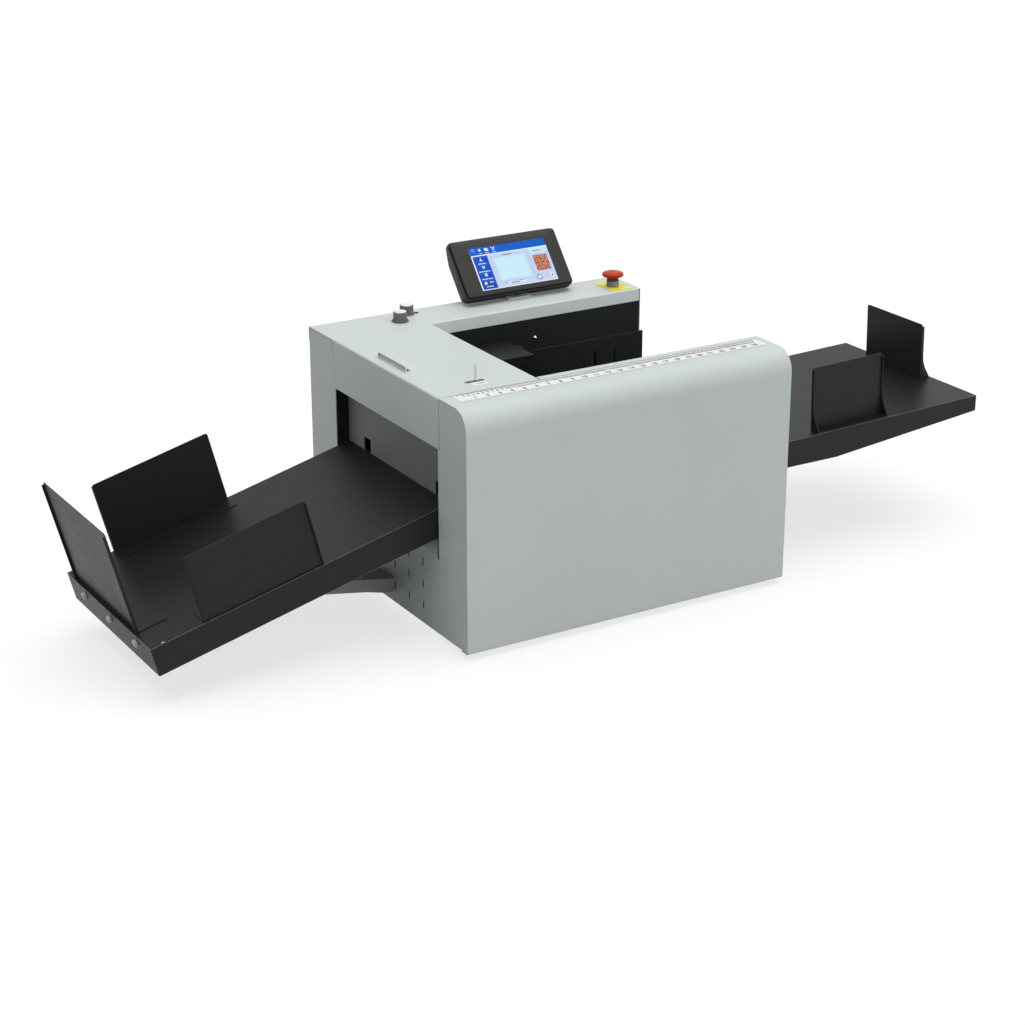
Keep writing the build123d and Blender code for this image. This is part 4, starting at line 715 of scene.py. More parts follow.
class CREASER_OT_covers(bpy.types.Operator):
    """Powder coat of the covers, hood, trays, guides, linings, wall and strut"""

    bl_idname = "creaser.covers"
    bl_label = "Coat Sheet Metal"

    def execute(self, context):
        colours = context.scene.creaser_colours
        paint(COVERS, powder_coat("cover_coat", colours.cover))
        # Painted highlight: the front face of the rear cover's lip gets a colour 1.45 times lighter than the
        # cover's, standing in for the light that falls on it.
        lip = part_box("rear_top_cover")[0].y + 1.2 * MM
        bright = ("Y", lip + 0.1 * MM, lip, 1.45)
        paint(("rear_top_cover",), powder_coat("rear_cover_coat", colours.cover, fade=bright))
        paint(("hood",), powder_coat("hood_coat", colours.cover, roughness=0.50))
        paint(TRAYS, tray_coat("tray_coat", colours.tray))
        paint(LININGS, tray_coat("lining_coat", colours.lining, run=(30.0, 30.0, 30.0), edge_highlight=0.03))
        paint(GUIDES, tray_coat("guide_coat", colours.tray, run=(45.0, 45.0, 45.0), edge_highlight=0.045))
        paint(("stacker_wall",), powder_coat("wall_coat", colours.wall, roughness=0.55))
        paint(("tray_strut",), powder_coat("strut_coat", colours.strut, roughness=0.55))
        housing = powder_coat("housing_coat", colours.housing, roughness=0.6, pebble=0.2)
        paint(("drive_motors", "vacuum_blower", "electronics_boxes"), housing)
        return {"FINISHED"}


class CREASER_OT_metals(bpy.types.Operator):
    """Ground, plated and tool steel of the shafts, beams, cams and lever"""

    bl_idname = "creaser.metals"
    bl_label = "Finish Steel"

    def execute(self, context):
        colours = context.scene.creaser_colours
        paint(ROLLERS, ground_steel("roller_steel", colours.steel, (26.0, 1500.0, 26.0)))
        paint(("lift_rods",), ground_steel("rod_steel", colours.steel, (26.0, 26.0, 1500.0)))
        paint(("head_plunger",), ground_steel("plunger_steel", colours.steel, (60.0, 900.0, 60.0), 0.12))
        tool = ground_steel("tool_steel", colours.tool, (900.0, 12.0, 900.0), 0.34)
        paint(("creasing_matrix", "creasing_beam", "creasing_blade", "cam_shaft"), tool)
        paint(("base_pan", "lift_carriage", "hinge_beam"), plated_steel("plated_steel", colours.plated))
        paint(("adjust_lever",), ground_steel("lever_steel", (0.70, 0.71, 0.72), (1200.0, 60.0, 24.0), 0.2))
        return {"FINISHED"}


class CREASER_OT_mouldings(bpy.types.Operator):
    """Rubber and plastic of the tyres, belt, feet, knobs, inlet and switch"""

    bl_idname = "creaser.mouldings"
    bl_label = "Finish Rubber and Plastic"

    def execute(self, context):
        colours = context.scene.creaser_colours
        tyres = ("infeed_lower_tyres", "outfeed_lower_tyres", "drive_belt")
        paint(tyres, rubber("tyre_rubber", colours.rubber))
        paint(("rubber_feet",), rubber("foot_rubber", colours.rubber, dusty=0.15))
        paint(("power_inlet", "switch_bezel"), moulded("black_plastic", colours.plastic))
        paint(("switch_rocker",), glossy_plastic("rocker_plastic", colours.plastic))
        paint(("near_knob", "far_knob"), moulded("knob_plastic", colours.knob, roughness=0.5))
        paint(("stop_button_plate",), printed("stop_yellow", colours.plate))
        paint(("ruler_strip",), printed("ruler_white", colours.ruler, fleck=0.2))
        return {"FINISHED"}


# ---------------------------------------------------------------- printing
class CREASER_OT_ruler(bpy.types.Operator):
    """Centimetre and inch scales printed on the ruler strip"""

    bl_idname = "creaser.ruler"
    bl_label = "Print Ruler"

    def execute(self, context):
        hardware = context.scene.creaser_hardware
        colours = context.scene.creaser_colours
        low, high = box_mm("ruler_strip")
        place = at(low.x, low.y, high.z + PRINT_LIFT)
        run, width = high.x - low.x, high.y - low.y
        margin = hardware.ruler_margin / MM
        usable = run - 2 * margin
        height = hardware.number_height / MM
        row = 12.5
        front, rear = 1.2, width - 1.6
        thin, bold = 0.23, 0.5
        marks = bmesh.new()
        for count in range(int(usable) + 1):
            reach = 6.0 if count % 10 == 0 else 4.2 if count % 5 == 0 else 2.6
            half = bold if count % 5 == 0 else thin
            bar(marks, margin + count - half, margin + count + half, rear - reach, rear, place)
        for count in range(int(usable / INCH * 8) + 1):
            reach = 6.5 if count % 8 == 0 else 4.6 if count % 4 == 0 else 3.0
            x = margin + count * INCH / 8
            bar(marks, x - bold, x + bold, front, front + reach, place)
        for count in range(1, int(usable / 10) + 1):
            numeral(marks, str(count), height, place @ at(margin + count * 10, width - row), 0.05)
        for count in range(1, int(usable / INCH) + 1):
            numeral(marks, str(count), 1.25 * height, place @ at(margin + count * INCH, row), 0.06)
        ink = printed("ruler_ink", colours.ink)
        dressed("ruler_marks", marks, ink, "chassis", smooth=False)
        # Painted shadow: a dark grey line along the strip's rear edge stands in for the shadow of the gap
        # behind it; a thinner line runs along its front edge.
        grey = printed("ruler_edge_ink", (0.11, 0.11, 0.115))
        strips = [(0, run, width - 1.1, width - 0.1), (0.1, run, 0.1, 0.5)]
        printed_piece("ruler_edge_shadows", strips, place, grey, "chassis")
        return {"FINISHED"}


class CREASER_OT_lever_label(bpy.types.Operator):
    """White label beside the adjusting lever, and the edging of its slot"""

    bl_idname = "creaser.lever_label"
    bl_label = "Print Lever Label"

    def execute(self, context):
        colours = context.scene.creaser_colours
        low, high = box_mm("adjust_lever")
        top = box_mm("hood")[1].z + PRINT_LIFT
        place = at((low.x + high.x) / 2, high.y - 17.1, top)
        white = printed("label_white", colours.ruler, fleck=0.1)
        ground = [rectangle(-15.0, 15.0, -8.2, 8.2)]
        slab_piece("lever_label", ground, 0.0, 0.12, place, white, "hood_body")
        marks = bmesh.new()
        lift = 0.16
        patch(marks, [(-8, -0.4), (8, -2.4), (8, 1.6), (-8, 0.4)], place, lift)
        for strip in (
            (-12.4, -9.8, -0.35, 0.35), (9.8, 12.4, -0.35, 0.35),
            (10.75, 11.45, 0.35, 1.3), (10.75, 11.45, -1.3, -0.35),
        ):
            bar(marks, *strip, place, lift)
        for count in range(-3, 4):
            middle = 3.6 * count
            bar(marks, middle - 0.15, middle + 0.15, 3.6, 5.6, place, lift)
        ink = printed("label_ink", scaled(colours.ink, 3.0))
        dressed("lever_label_marks", marks, ink, "hood_body", smooth=False)
        black = rubber("trim_rubber", (0.006, 0.006, 0.006), 0.0)
        strips = framed(low.x - 13.0, high.x + 9.0, high.y - 6.0, high.y + 2.0, 2.0)
        trim = [rectangle(*strip) for strip in strips]
        slab_piece("lever_slot_trim", trim, 0.0, 0.3, at(0, 0, top), black, "hood_body")
        return {"FINISHED"}


class CREASER_OT_knob_details(bpy.types.Operator):
    """Rims and domed caps on the knobs, their printed scales, pointer and black base ring"""

    bl_idname = "creaser.knob_details"
    bl_label = "Fit Knob Caps and Scales"
    rim = ((10.7, -2.9), (13.7, -2.9), (13.7, -1.2), (13.3, -0.5), (12.5, -0.1), (10.7, -0.1), (10.7, -2.9))
    cap = (
        (12.2, -0.2), (12.2, 0.3), (11.8, 0.7), (10.2, 1.1),
        (7.8, 1.5), (5.0, 1.72), (2.4, 1.82), (0.0, 1.85),
    )
    base_ring = ((15.8, 0.0), (16.7, 0.0), (16.7, 0.8), (16.2, 1.2), (15.8, 1.2), (15.8, 0.0))
    hook = ((16.2, -5.4), (19.4, -5.0), (21.6, -7.4), (22.8, -6.8), (20.6, -2.6), (16.2, -2.8))

    def execute(self, context):
        colours = context.scene.creaser_colours
        level = box_mm("rear_top_cover")[1].z + PRINT_LIFT
        cap_finish = glossy_plastic("knob_cap", colours.cap, coat=0.8)
        ink = printed("scale_ink", scaled(colours.ink, 3.0))
        black = moulded("knob_ring", colours.plastic)
        body = moulded("knob_rim", colours.knob, roughness=0.5)
        for knob in ("near_knob", "far_knob"):
            low, high = box_mm(knob)
            middle = (low + high) / 2
            top = at(middle.x, middle.y, high.z)
            rides = knob + "_body"
            turned_piece(knob + "_rim", self.rim, top, 54, body, rides)
            turned_piece(knob + "_cap", self.cap, top, 40, cap_finish, rides)
            white = printed(knob + "_line_white", (0.8, 0.8, 0.8))
            sunk = top @ at(0, 0, -0.04)
            printed_piece(knob + "_line", [(12.3, 13.2, -0.6, 0.6)], sunk, white, rides)
            base = at(middle.x, middle.y, level)
            scale = bmesh.new()
            for count in range(11):
                reach = 3.2 if count % 5 == 0 else 2.0
                bar(scale, 18.5, 18.5 + reach, -0.18, 0.18, base @ spin(27 * count - 225))
            if knob == "near_knob":
                arc_band(scale, 18.2, 18.5, -225, 45, base)
                for count, angle in ((0, -225), (5, -90), (10, 45)):
                    numeral(scale, str(count), 2.6, base @ at(*round_spot(24.0, math.radians(angle))))
                turned_piece(knob + "_ring", self.base_ring, base, 48, black, "chassis")
            dressed(knob + "_scale", scale, ink, "chassis", smooth=False)
        slab_piece("knob_pointer", [self.hook], 0.0, 2.2, base, black, "chassis")
        return {"FINISHED"}


class CREASER_OT_stop_button(bpy.types.Operator):
    """Mushroom head, skirt and sleeve of the emergency stop, its arrows and its plate's border"""

    bl_idname = "creaser.stop_button"
    bl_label = "Build Stop Button"

    def execute(self, context):
        colours = context.scene.creaser_colours
        low, high = box_mm("stop_button_head")
        middle = (low + high) / 2
        crown = at(middle.x, middle.y, high.z)
        plate_low, plate_high = box_mm("stop_button_plate")
        bow = 0.0095
        head = [(r, -bow * r * r) for r in (0.0, 4.0, 8.0, 12.0, 16.0, 19.4)]
        head += [(20.9, -4.5), (21.9, -5.7), (22.3, -7.2), (22.3, -8.8), (21.7, -10.2), (20.0, -11.3)]
        head += [(16.4, -12.4), (13.2, -13.6), (12.4, -14.2), (7.8, -14.2), (7.8, -38.0), (0.0, -38.0)]
        red = glossy_plastic("stop_red", colours.stop, coat=0.0, specular=0.10)
        piece = turned_piece("stop_button_mushroom", head, crown, 48, red, "stop_button_body")
        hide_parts("stop_button_head")
        # Painted shade: the skirt under the red head is a dark brown, the shade beneath the mushroom painted
        # in.
        skirt = [(8.0, -14.3), (11.8, -14.3), (11.8, -20.4), (8.0, -20.4), (8.0, -14.3)]
        dark = moulded("skirt_plastic", (0.045, 0.022, 0.018), roughness=0.6)
        turned_piece("stop_button_skirt", skirt, crown, 40, dark, "stop_button_body")
        sleeve = [(10.8, -24.0), (10.8, 0.05), (12.9, 0.05), (12.9, 11.3), (12.7, 11.7), (12.2, 11.8)]
        sleeve += [(12.2, 6.6), (8.6, 6.6), (8.6, -24.0), (10.8, -24.0)]
        grey = moulded("collar_plastic", colours.collar, roughness=0.4)
        low, high = box_mm("stop_button_collar")
        foot = at((low.x + high.x) / 2, (low.y + high.y) / 2, plate_high.z)
        piece = turned_piece("stop_button_sleeve", sleeve, foot, 48, grey, "chassis")
        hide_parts("stop_button_collar")
        self.arrows(crown, bow)
        inset = 1.6
        size = plate_high - plate_low
        strips = framed(inset, size.x - inset, inset, size.y - inset, 0.5)
        place = at(plate_low.x, plate_low.y, plate_high.z + PRINT_LIFT)
        ink = printed("border_ink", (0.45, 0.37, 0.02))
        printed_piece("stop_plate_border", strips, place, ink, "chassis")
        return {"FINISHED"}

    def arrows(self, crown, bow):
        """Three arrows that follow the dome, which falls with the radius squared."""

        def on_dome(radius, turn):
            spot = Vector((*round_spot(radius, turn), 0.04 - bow * radius * radius))
            return arrows.verts.new(crown @ spot)

        arrows = bmesh.new()
        for turn in (0, 120, 240):
            spots = [math.radians(turn + step * 9) for step in range(8)]
            for a, b in zip(spots, spots[1:]):
                arrows.faces.new([on_dome(10.4, a), on_dome(12.0, a), on_dome(12.0, b), on_dome(10.4, b)])
            tip = spots[-1] + math.radians(16)
            arrows.faces.new([on_dome(9.2, spots[-1]), on_dome(13.2, spots[-1]), on_dome(11.2, tip)])
        ink = printed("arrow_ink", (0.62, 0.16, 0.07))
        dressed("stop_arrows", arrows, ink, "stop_button_body", smooth=False)


class CREASER_OT_hood_details(bpy.types.Operator):
    """Grooved grip of the hood and a black strip behind its flap that paints the shadow of the step at the
    flap's edge
    """

    bl_idname = "creaser.hood_details"
    bl_label = "Fit Hood Details"

    def execute(self, context):
        colours = context.scene.creaser_colours
        self.grip(colours)
        high = box_mm("hood")[1]
        panel = box_mm("left_end_panel")[0].x
        # Painted shadow: a thin black strip on the end panel, just past the hood's far edge, stands in for
        # the shadow of the step there.
        strip = rectangle(panel - 0.5, panel - 0.02, high.y + 0.4, high.y + 1.5)
        foot = box_mm("rear_top_cover")[1].z - 96
        black = rubber("seal_rubber", colours.rubber, 0.1)
        slab_piece("hood_seam_shadow", [strip], foot, high.z - 1.0, at(0, 0), black, "chassis")
        return {"FINISHED"}

    def grip(self, colours):
        """Lofts the grip along y: its lip and its back rise at their own pace from either end."""
        low, high = box_mm("hood_handle")
        profile = [
            (0.5, 0.0), (0.2, 1.4), (0.9, 2.2), (3.0, 3.0), (4.4, 4.6), (4.2, 6.6), (2.2, 8.2), (0.7, 9.0),
            (0.3, 9.8), (1.0, 10.5), (3.2, 10.7), (14.0, 10.1), (20.0, 7.9), (27.0, 3.4), (32.4, 0.25),
            (33.0, 0.0),
        ]
        stations = [
            (0.0, 0.10, 0.02), (0.8, 0.62, 0.05), (2.0, 0.90, 0.11), (4.0, 1.0, 0.22),
            (8.0, 1.0, 0.42), (15.0, 1.0, 0.74), (24.0, 1.0, 1.0),
        ]
        stations += [(high.y - low.y - reach, lip, back) for reach, lip, back in reversed(stations)]
        loops = []
        for reach, lip, back in stations:
            shares = [min(1.0, max(0.0, (x - 3.0) / 9.0)) for x, z in profile]
            heights = [z * (lip * (1 - part) + back * part) for part, (x, z) in zip(shares, profile)]
            loops.append([(x, reach, height) for (x, z), height in zip(profile, heights)])
        shape = bmesh.new()
        loft(shape, loops, at(low.x, low.y, low.z))
        weld(shape)
        finish = moulded("handle_plastic", colours.handle, roughness=0.42, wear=0.05)
        piece = dressed("hood_grip", shape, finish, "hood_body")
        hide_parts("hood_handle")
        # Painted shade: a small dark stud at the grip's near end stands in for the shadow in the hollow of
        # its groove.
        place = facing(low + Vector((4.6, 0.6, 3.4)), Vector((0, -1, 0)), Vector((1, 0, 0)))
        end_shade_profile = [(1.9, -3.0), (1.9, 0.6), (1.4, 1.1), (0.0, 1.3)]
        dark = moulded("stud_plastic", (0.05, 0.05, 0.05), roughness=0.5)
        turned_piece("hood_grip_end_shade", end_shade_profile, place, 20, dark, "hood_body")


class CREASER_OT_exit_details(bpy.types.Operator):
    """Plate in the exit window, darker towards its top as a painted shadow of the tray; a black strip at the
    window's near edge, a painted shadow of the gap there; and black blocks in the vent slots, painted shade
    inside them
    """

    bl_idname = "creaser.exit_details"
    bl_label = "Fit Exit Details"

    def execute(self, context):
        colours = context.scene.creaser_colours
        low, high = box_mm("left_end_panel")
        hood_low, hood_high = box_mm("hood")
        sill = low.z + context.scene.creaser_hardware.sill_height / MM
        near = hood_low.y + 10.2
        deep = hood_high.y - 2.8 - near
        rise = 37.8
        inwards = Vector((0, 1, 0)), Vector((0, 0, 1)), Vector((1, 0, 0))
        upright = axes(Vector((low.x, near, sill + 0.03)), *inwards)
        # Painted shadow: the sill plate darkens towards its top, under the tray, standing in for the tray's
        # shadow on the panel.
        coat = powder_coat("sill_coat", colours.cover, fade=("Z", sill * MM, (sill + rise) * MM, 0.12))
        plate = [rectangle(0, deep, 0, rise)]
        slab_piece("exit_sill_plate", plate, 0.0, 1.4, upright, coat, "chassis")
        # Painted shadow: a black strip at the window's near edge stands in for the dark of the gap there.
        black = rubber("edge_rubber", (0.006, 0.006, 0.006), 0.0)
        edge_shadow_strip = [rectangle(-5.1, -0.1, 0, rise)]
        slab_piece("exit_edge_shadow", edge_shadow_strip, 0.0, 0.5, upright, black, "chassis")
        # Painted shade: black blocks set almost flush in the vent slots make them read as dark openings.
        slot_shade_black = rubber("vent_felt", (0.007, 0.007, 0.007), 0.05)
        first_slot = Vector((high.x, low.y + 164, low.z + 36))
        behind = axes(first_slot, *inwards)
        slots = [(55 * column, 43 * row) for column in range(6) for row in range(3)]
        slot_shade_blocks = [rectangle(x - 2.4, x + 2.4, y - 7.9, y + 7.9) for x, y in slots]
        slab_piece("vent_slot_shade", slot_shade_blocks, -1.1, 0.3, behind, slot_shade_black, "chassis")
        return {"FINISHED"}


# ---------------------------------------------------------------- display
class ScreenSheet:
    """The screen's plane, where places are shares of its width and its height from the top."""

    lift = 0.05

    def __init__(self, node):
        self.place, (self.wide, self.tall) = plane_of(node)
        self.edges = (-38, self.wide + 33, -12, self.tall + 20)

    def spot(self, across, down):
        return self.place @ at(across * self.wide, (1 - down) * self.tall)

    def field(self, shape, left, right, top, bottom, lift=lift):
        wide, tall = self.wide, self.tall
        bar(shape, left * wide, right * wide, (1 - bottom) * tall, (1 - top) * tall, self.place, lift)

    def outline(self, inset, clip, foot=None, notch=None):
        """The housing's softly clipped outline; a notch for the hinge can rise from its foot."""
        left, right, bottom, top = self.edges
        left, right, top = left + inset, right - inset, top - inset
        bottom += inset if foot is None else foot
        soft = [(0.0, clip), (0.13 * clip, 0.5 * clip), (0.5 * clip, 0.13 * clip), (clip, 0.0)]
        points = [(left + x, bottom + y) for x, y in soft]
        if notch is not None:
            rise = max(notch, bottom)
            near, far = HINGE_NOTCH
            points += [(near, bottom), (near, rise), (far, rise), (far, bottom)]
        points += [(right - x, bottom + y) for x, y in reversed(soft)]
        points += [(right - x, top - y) for x, y in soft]
        points += [(left + x, top - y) for x, y in reversed(soft)]
        return points


class CREASER_OT_display(bpy.types.Operator):
    """Lit screen with its symbols, the front plate, the deep shell and the rear screws"""

    bl_idname = "creaser.display"
    bl_label = "Light Display"

    def execute(self, context):
        screen = context.scene.creaser_screen
        colours = context.scene.creaser_colours
        paint(("display_glass",), screen_picture("screen_glass", screen, *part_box("display_glass")))
        sheet = ScreenSheet("display_glass")
        lift = sheet.lift
        white = bmesh.new()
        self.header_symbols(white, sheet)
        self.menu_symbols(white, sheet)
        disc(white, 3.6, sheet.spot(0.772, 0.885), lift)
        disc(white, 4.6, sheet.spot(0.942, 0.885), lift)
        sheet.field(white, 0.36, 0.60, 0.905, 0.93)
        self.printing("screen_symbols", white, "screen_white", (0.95, 0.97, 1.0), screen)
        dark = bmesh.new()
        arc_band(dark, 4.5, 5.9, 0, 360, sheet.spot(0.772, 0.885), 40, lift)
        disc(dark, 2.1, sheet.spot(0.942, 0.885), 2 * lift)
        for left, right, top in (
            (0.40, 0.52, 0.243), (0.80, 0.90, 0.262), (0.31, 0.335, 0.885),
            (0.39, 0.50, 0.912), (0.52, 0.545, 0.885),
        ):
            sheet.field(dark, left, right, top, top + 0.016, 2 * lift)
        self.printing("screen_marks", dark, "screen_slate", (0.07, 0.11, 0.20), screen)
        warm = bmesh.new()
        sheet.field(warm, 0.845, 0.885, 0.875, 0.895)
        sheet.field(warm, 0.12, 0.175, 0.815, 0.845)
        self.printing("screen_ready_mark", warm, "screen_amber", (0.62, 0.62, 0.20), screen)
        light = bmesh.new()
        for row in range(3):
            for column in range(4):
                left = 0.795 + 0.040 * column + 0.006 * (row % 2)
                top = 0.405 + 0.095 * row
                sheet.field(light, left, left + 0.016, top, top + 0.022)
        self.printing("start_field_marks", light, "screen_peach", (0.80, 0.46, 0.33), screen)
        self.front_plate(colours, sheet)
        self.shell(colours, sheet)
        self.housing_details(sheet)
        return {"FINISHED"}

    def printing(self, name, shape, finish, colour, screen):
        lit = glow_paint(finish, colour, screen.glow)
        dressed(name, shape, lit, "display_body", smooth=False)

    def header_symbols(self, shape, sheet):
        lift = sheet.lift
        for row in range(3):
            for column in range(3):
                left, low = 2.4 * column - 3, 2.4 * row - 3
                bar(shape, left, left + 1.4, low, low + 0.6, sheet.spot(0.05, 0.055), lift)
        patch(shape, [(-3.4, 0), (0, -3.6), (3.4, 0), (0, 3.6)], sheet.spot(0.135, 0.068), lift)
        for edges in ((-4.2, 2.2, -2.0, 3.2), (2.4, 4.6, -3.4, 1.6), (-2.6, 2.4, -3.4, -2.3)):
            bar(shape, *edges, sheet.spot(0.221, 0.072), lift)
        for turn in (45, 135):
            arm = sheet.spot(0.312, 0.075) @ spin(turn)
            bar(shape, -4.4, 4.4, -0.6, 0.6, arm, lift)
            disc(shape, 1.3, arm @ at(4.2, 0), lift, 12)
        for middle, half in ((0.135, 0.016), (0.221, 0.026), (0.312, 0.022)):
            sheet.field(shape, middle - half, middle + half, 0.142, 0.156)

    def menu_symbols(self, shape, sheet):
        lift = sheet.lift
        fold = sheet.spot(0.11, 0.47)
        stand = [(-4, -3), (4, -3), (4, -1.8), (0.6, -1.2), (0.4, 4.4), (-0.8, 4.4), (-1.2, -1.2), (-4, -1.8)]
        patch(shape, stand, sheet.spot(0.11, 0.285), lift)
        patch(shape, [(-3.4, 3), (-1.8, 3.2), (-0.4, 0), (-0.4, -3), (-1.8, -3)], fold, lift)
        patch(shape, [(0.6, -3), (0.6, 0), (1.8, 3), (3.6, 3), (2.2, -3)], fold, lift)
        hub = sheet.spot(0.11, 0.65)
        arc_band(shape, 1.3, 2.8, 0, 360, hub, 24, lift)
        for turn in range(0, 360, 60):
            bar(shape, 2.7, 4.0, -0.7, 0.7, hub @ spin(turn), lift)
        bubble = sheet.spot(0.07, 0.84)
        disc(shape, 3.0, bubble, lift)
        patch(shape, [(-2.4, -1.6), (-0.6, -2.7), (-3.4, -4.2)], bubble, lift)
        for line, half in ((0.372, 0.05), (0.558, 0.075), (0.735, 0.07), (0.915, 0.045)):
            for part in range(5):
                left = 0.11 - half + part * half * 0.4
                sheet.field(shape, left, left + half * 0.32, line, line + 0.020)

    def front_plate(self, colours, sheet):
        """Frame round the glass: a chamfer down to it, a flat face and a rounded outer edge."""
        loops = []
        for gap, level in ((0.15, -1.1), (0.15, -0.2), (0.4, 0.0)):
            corners = rectangle(-gap, sheet.wide + gap, -gap, sheet.tall + gap)
            loops.append([(x, y, level) for x, y in corners for _ in range(4)])
        for inset, level in ((3.2, 0.0), (2.2, -0.35), (1.7, -1.0), (1.5, -2.0), (2.6, -2.2)):
            loops.append([(x, y, level) for x, y in sheet.outline(inset, 6.0)])
        shape = bmesh.new()
        loft(shape, loops, sheet.place, False, False)
        weld(shape)
        finish = moulded("display_plastic", colours.display, 0.42, 1100.0, 0.2, wear=0.10, specular=0.34)
        piece = dressed("display_front_plate", shape, finish, "display_body")
        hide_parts("display_housing")

    def shell(self, colours, sheet):
        """Deep shell with a seam behind the plate, a sloping back and the hinge's knuckle."""
        rows = [
            (2.4, -1.9, 2.4, -50), (2.4, -7.0, 2.4, -50), (0.4, -7.0, 0.4, -50),
            (0.4, -5.4, 0.4, -50), (-0.7, -5.2, -0.7, -50), (-1.3, -5.6, -1.3, -50),
            (-1.5, -6.4, -1.5, -50), (-1.5, -16.0, -1.5, -50), (-1.5, -21.5, -1.5, -8.0),
            (-1.5, -22.0, -1.3, -7.5), (-1.5, -22.0, -1.3, 22.0), (-1.5, -27.5, 1.9, 22.0),
            (-0.9, -29.3, 3.3, 22.0), (0.6, -30.0, 5.0, 22.0),
        ]
        loops = []
        for inset, level, foot, notch in rows:
            slope = BACK_SLOPE * max(0.0, -level - BACK_START)
            spots = sheet.outline(inset, 9.0 - 0.59 * inset, foot, notch)
            loops.append([(x, y - slope if y > sheet.tall / 2 else y, level) for x, y in spots])
        shape = bmesh.new()
        loft(shape, loops, sheet.place, first=False)
        weld(shape)
        pivot = sheet.place @ at(sum(HINGE_NOTCH) / 2, 2, -31)
        tube = pivot @ Matrix.Rotation(math.pi / 2, 4, "Y")
        turned(shape, [(3.3, -8.0), (6.0, -8.0), (6.0, 8.0), (3.3, 8.0), (3.3, -8.0)], tube, 32)
        slab(shape, rectangle(-7.9, 7.9, -5.0, 5.0), 4.4, 9.6, pivot)
        finish = moulded("shell_plastic", colours.shell, roughness=0.5, grain=1100.0, depth=0.2, wear=0.14)
        dressed("display_shell", shape, finish, "display_body")

    def housing_details(self, sheet):
        eye = [(0.0, 0.3), (2.0, 0.25), (2.8, 0.12), (3.1, 0.0)]
        spot = sheet.place @ at(sheet.wide + 14, sheet.tall / 2 + 2.5)
        black = rubber("eye_black", (0.002, 0.002, 0.002), 0.0)
        turned_piece("display_eye", eye, spot, 24, black, "display_body")
        screws = bmesh.new()
        turn = sheet.place.to_3x3()
        for x in (-98, 98):
            for y in (-38, 22):
                spot = sheet.place @ Vector((sheet.wide / 2 + x, sheet.tall / 2 + y, -30.02))
                cross_screw(screws, 2.8, facing(spot, -turn.col[2], turn.col[0]))
        steel = ground_steel("small_screw_steel", (0.30, 0.30, 0.31), (900.0, 900.0, 60.0), 0.3)
        dressed("display_screws", screws, steel, "display_body")


# ---------------------------------------------------------------- screws
class CREASER_OT_tray_screws(bpy.types.Operator):
    """Three socket screws in the delivery tray's end and the hole near its corner"""

    bl_idname = "creaser.tray_screws"
    bl_label = "Fit Tray Screws"

    def execute(self, context):
        radius = context.scene.creaser_hardware.tray_screw / MM
        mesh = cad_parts["delivery_tray"].data
        ends = [face for face in mesh.polygons if face.normal.x < -0.9 and abs(face.normal.y) < 0.01]
        largest = max(ends, key=lambda face: face.area)
        out = Vector(largest.normal)
        reach = largest.center.dot(out)
        front = [mesh.vertices[i].co for face in ends for i in face.vertices]
        front = [corner / MM for corner in front if abs(corner.dot(out) - reach) < 0.2 * MM]
        top = max(front, key=lambda corner: corner.z)
        rise = out.cross(Vector((0, 1, 0)))
        rise = rise if rise.z > 0 else -rise
        middle = (min(c.y for c in front) + max(c.y for c in front)) / 2
        screws = bmesh.new()
        for across in (-121, 0.0, 121):
            spot = Vector((top.x, middle + across, top.z)) - rise * 18
            socket_screw(screws, radius, facing(spot, out))
        bright = glossy_plastic("screw_zinc", (0.56, 0.565, 0.57), coat=0.0, specular=0.6)
        dressed("tray_screws", screws, bright, "chassis")
        spot = Vector((top.x, box_mm("delivery_tray")[0].y + 5.5, top.z)) - out * 26 + rise * 0.04
        place = facing(spot, rise, -out)
        eyelet = [(1.4, 0.0), (1.5, 0.22), (2.3, 0.16), (2.6, 0.0)]
        turned_piece("tray_eyelet", eyelet, place, 24, bright, "chassis")
        # Painted shade: a black disc inside the eyelet stands in for the dark of the hole.
        hole = bmesh.new()
        disc(hole, 1.45, place, 0.03)
        black = rubber("hole_black", (0.004, 0.004, 0.004), 0.0)
        dressed("tray_eyelet_hole", hole, black, "chassis", smooth=False)
        return {"FINISHED"}


class CREASER_OT_cover_screws(bpy.types.Operator):
    """Screws that hold the rear panel, the inlet and the display stand"""

    bl_idname = "creaser.cover_screws"
    bl_label = "Fit Cover Screws"

    def execute(self, context):
        radius = context.scene.creaser_hardware.cover_screw / MM

        def rear_screw(size, x, y, z):
            cross_screw(screws, size, facing(Vector((x, y, z)), Vector((0, 1, 0)), Vector((1, 0, 0))))

        screws = bmesh.new()
        low, high = box_mm("rear_panel")
        for z in (low.z + 12, high.z - 12):
            for count in range(4):
                rear_screw(radius, low.x + 20 + (high.x - low.x - 40) * count / 3, high.y, z)
        low, high = box_mm("power_inlet")
        for x in (low.x + 4.5, high.x - 4.5):
            rear_screw(0.65 * radius, x, high.y, (low.z + high.z) / 2)
        dark = ground_steel("cover_screw_steel", (0.42, 0.42, 0.43), (500.0, 500.0, 500.0), 0.3)
        dressed("cover_screws", screws, dark, "chassis")
        low, high = box_mm("display_stand")
        top = box_mm("rear_top_cover")[1].z + 3
        screws = bmesh.new()
        for x in (low.x + 7, high.x - 7):
            for y in (low.y + 14, high.y - 6):
                cross_screw(screws, 2.6, at(x, y, top))
        dressed("stand_screws", screws, dark, "chassis")
        return {"FINISHED"}


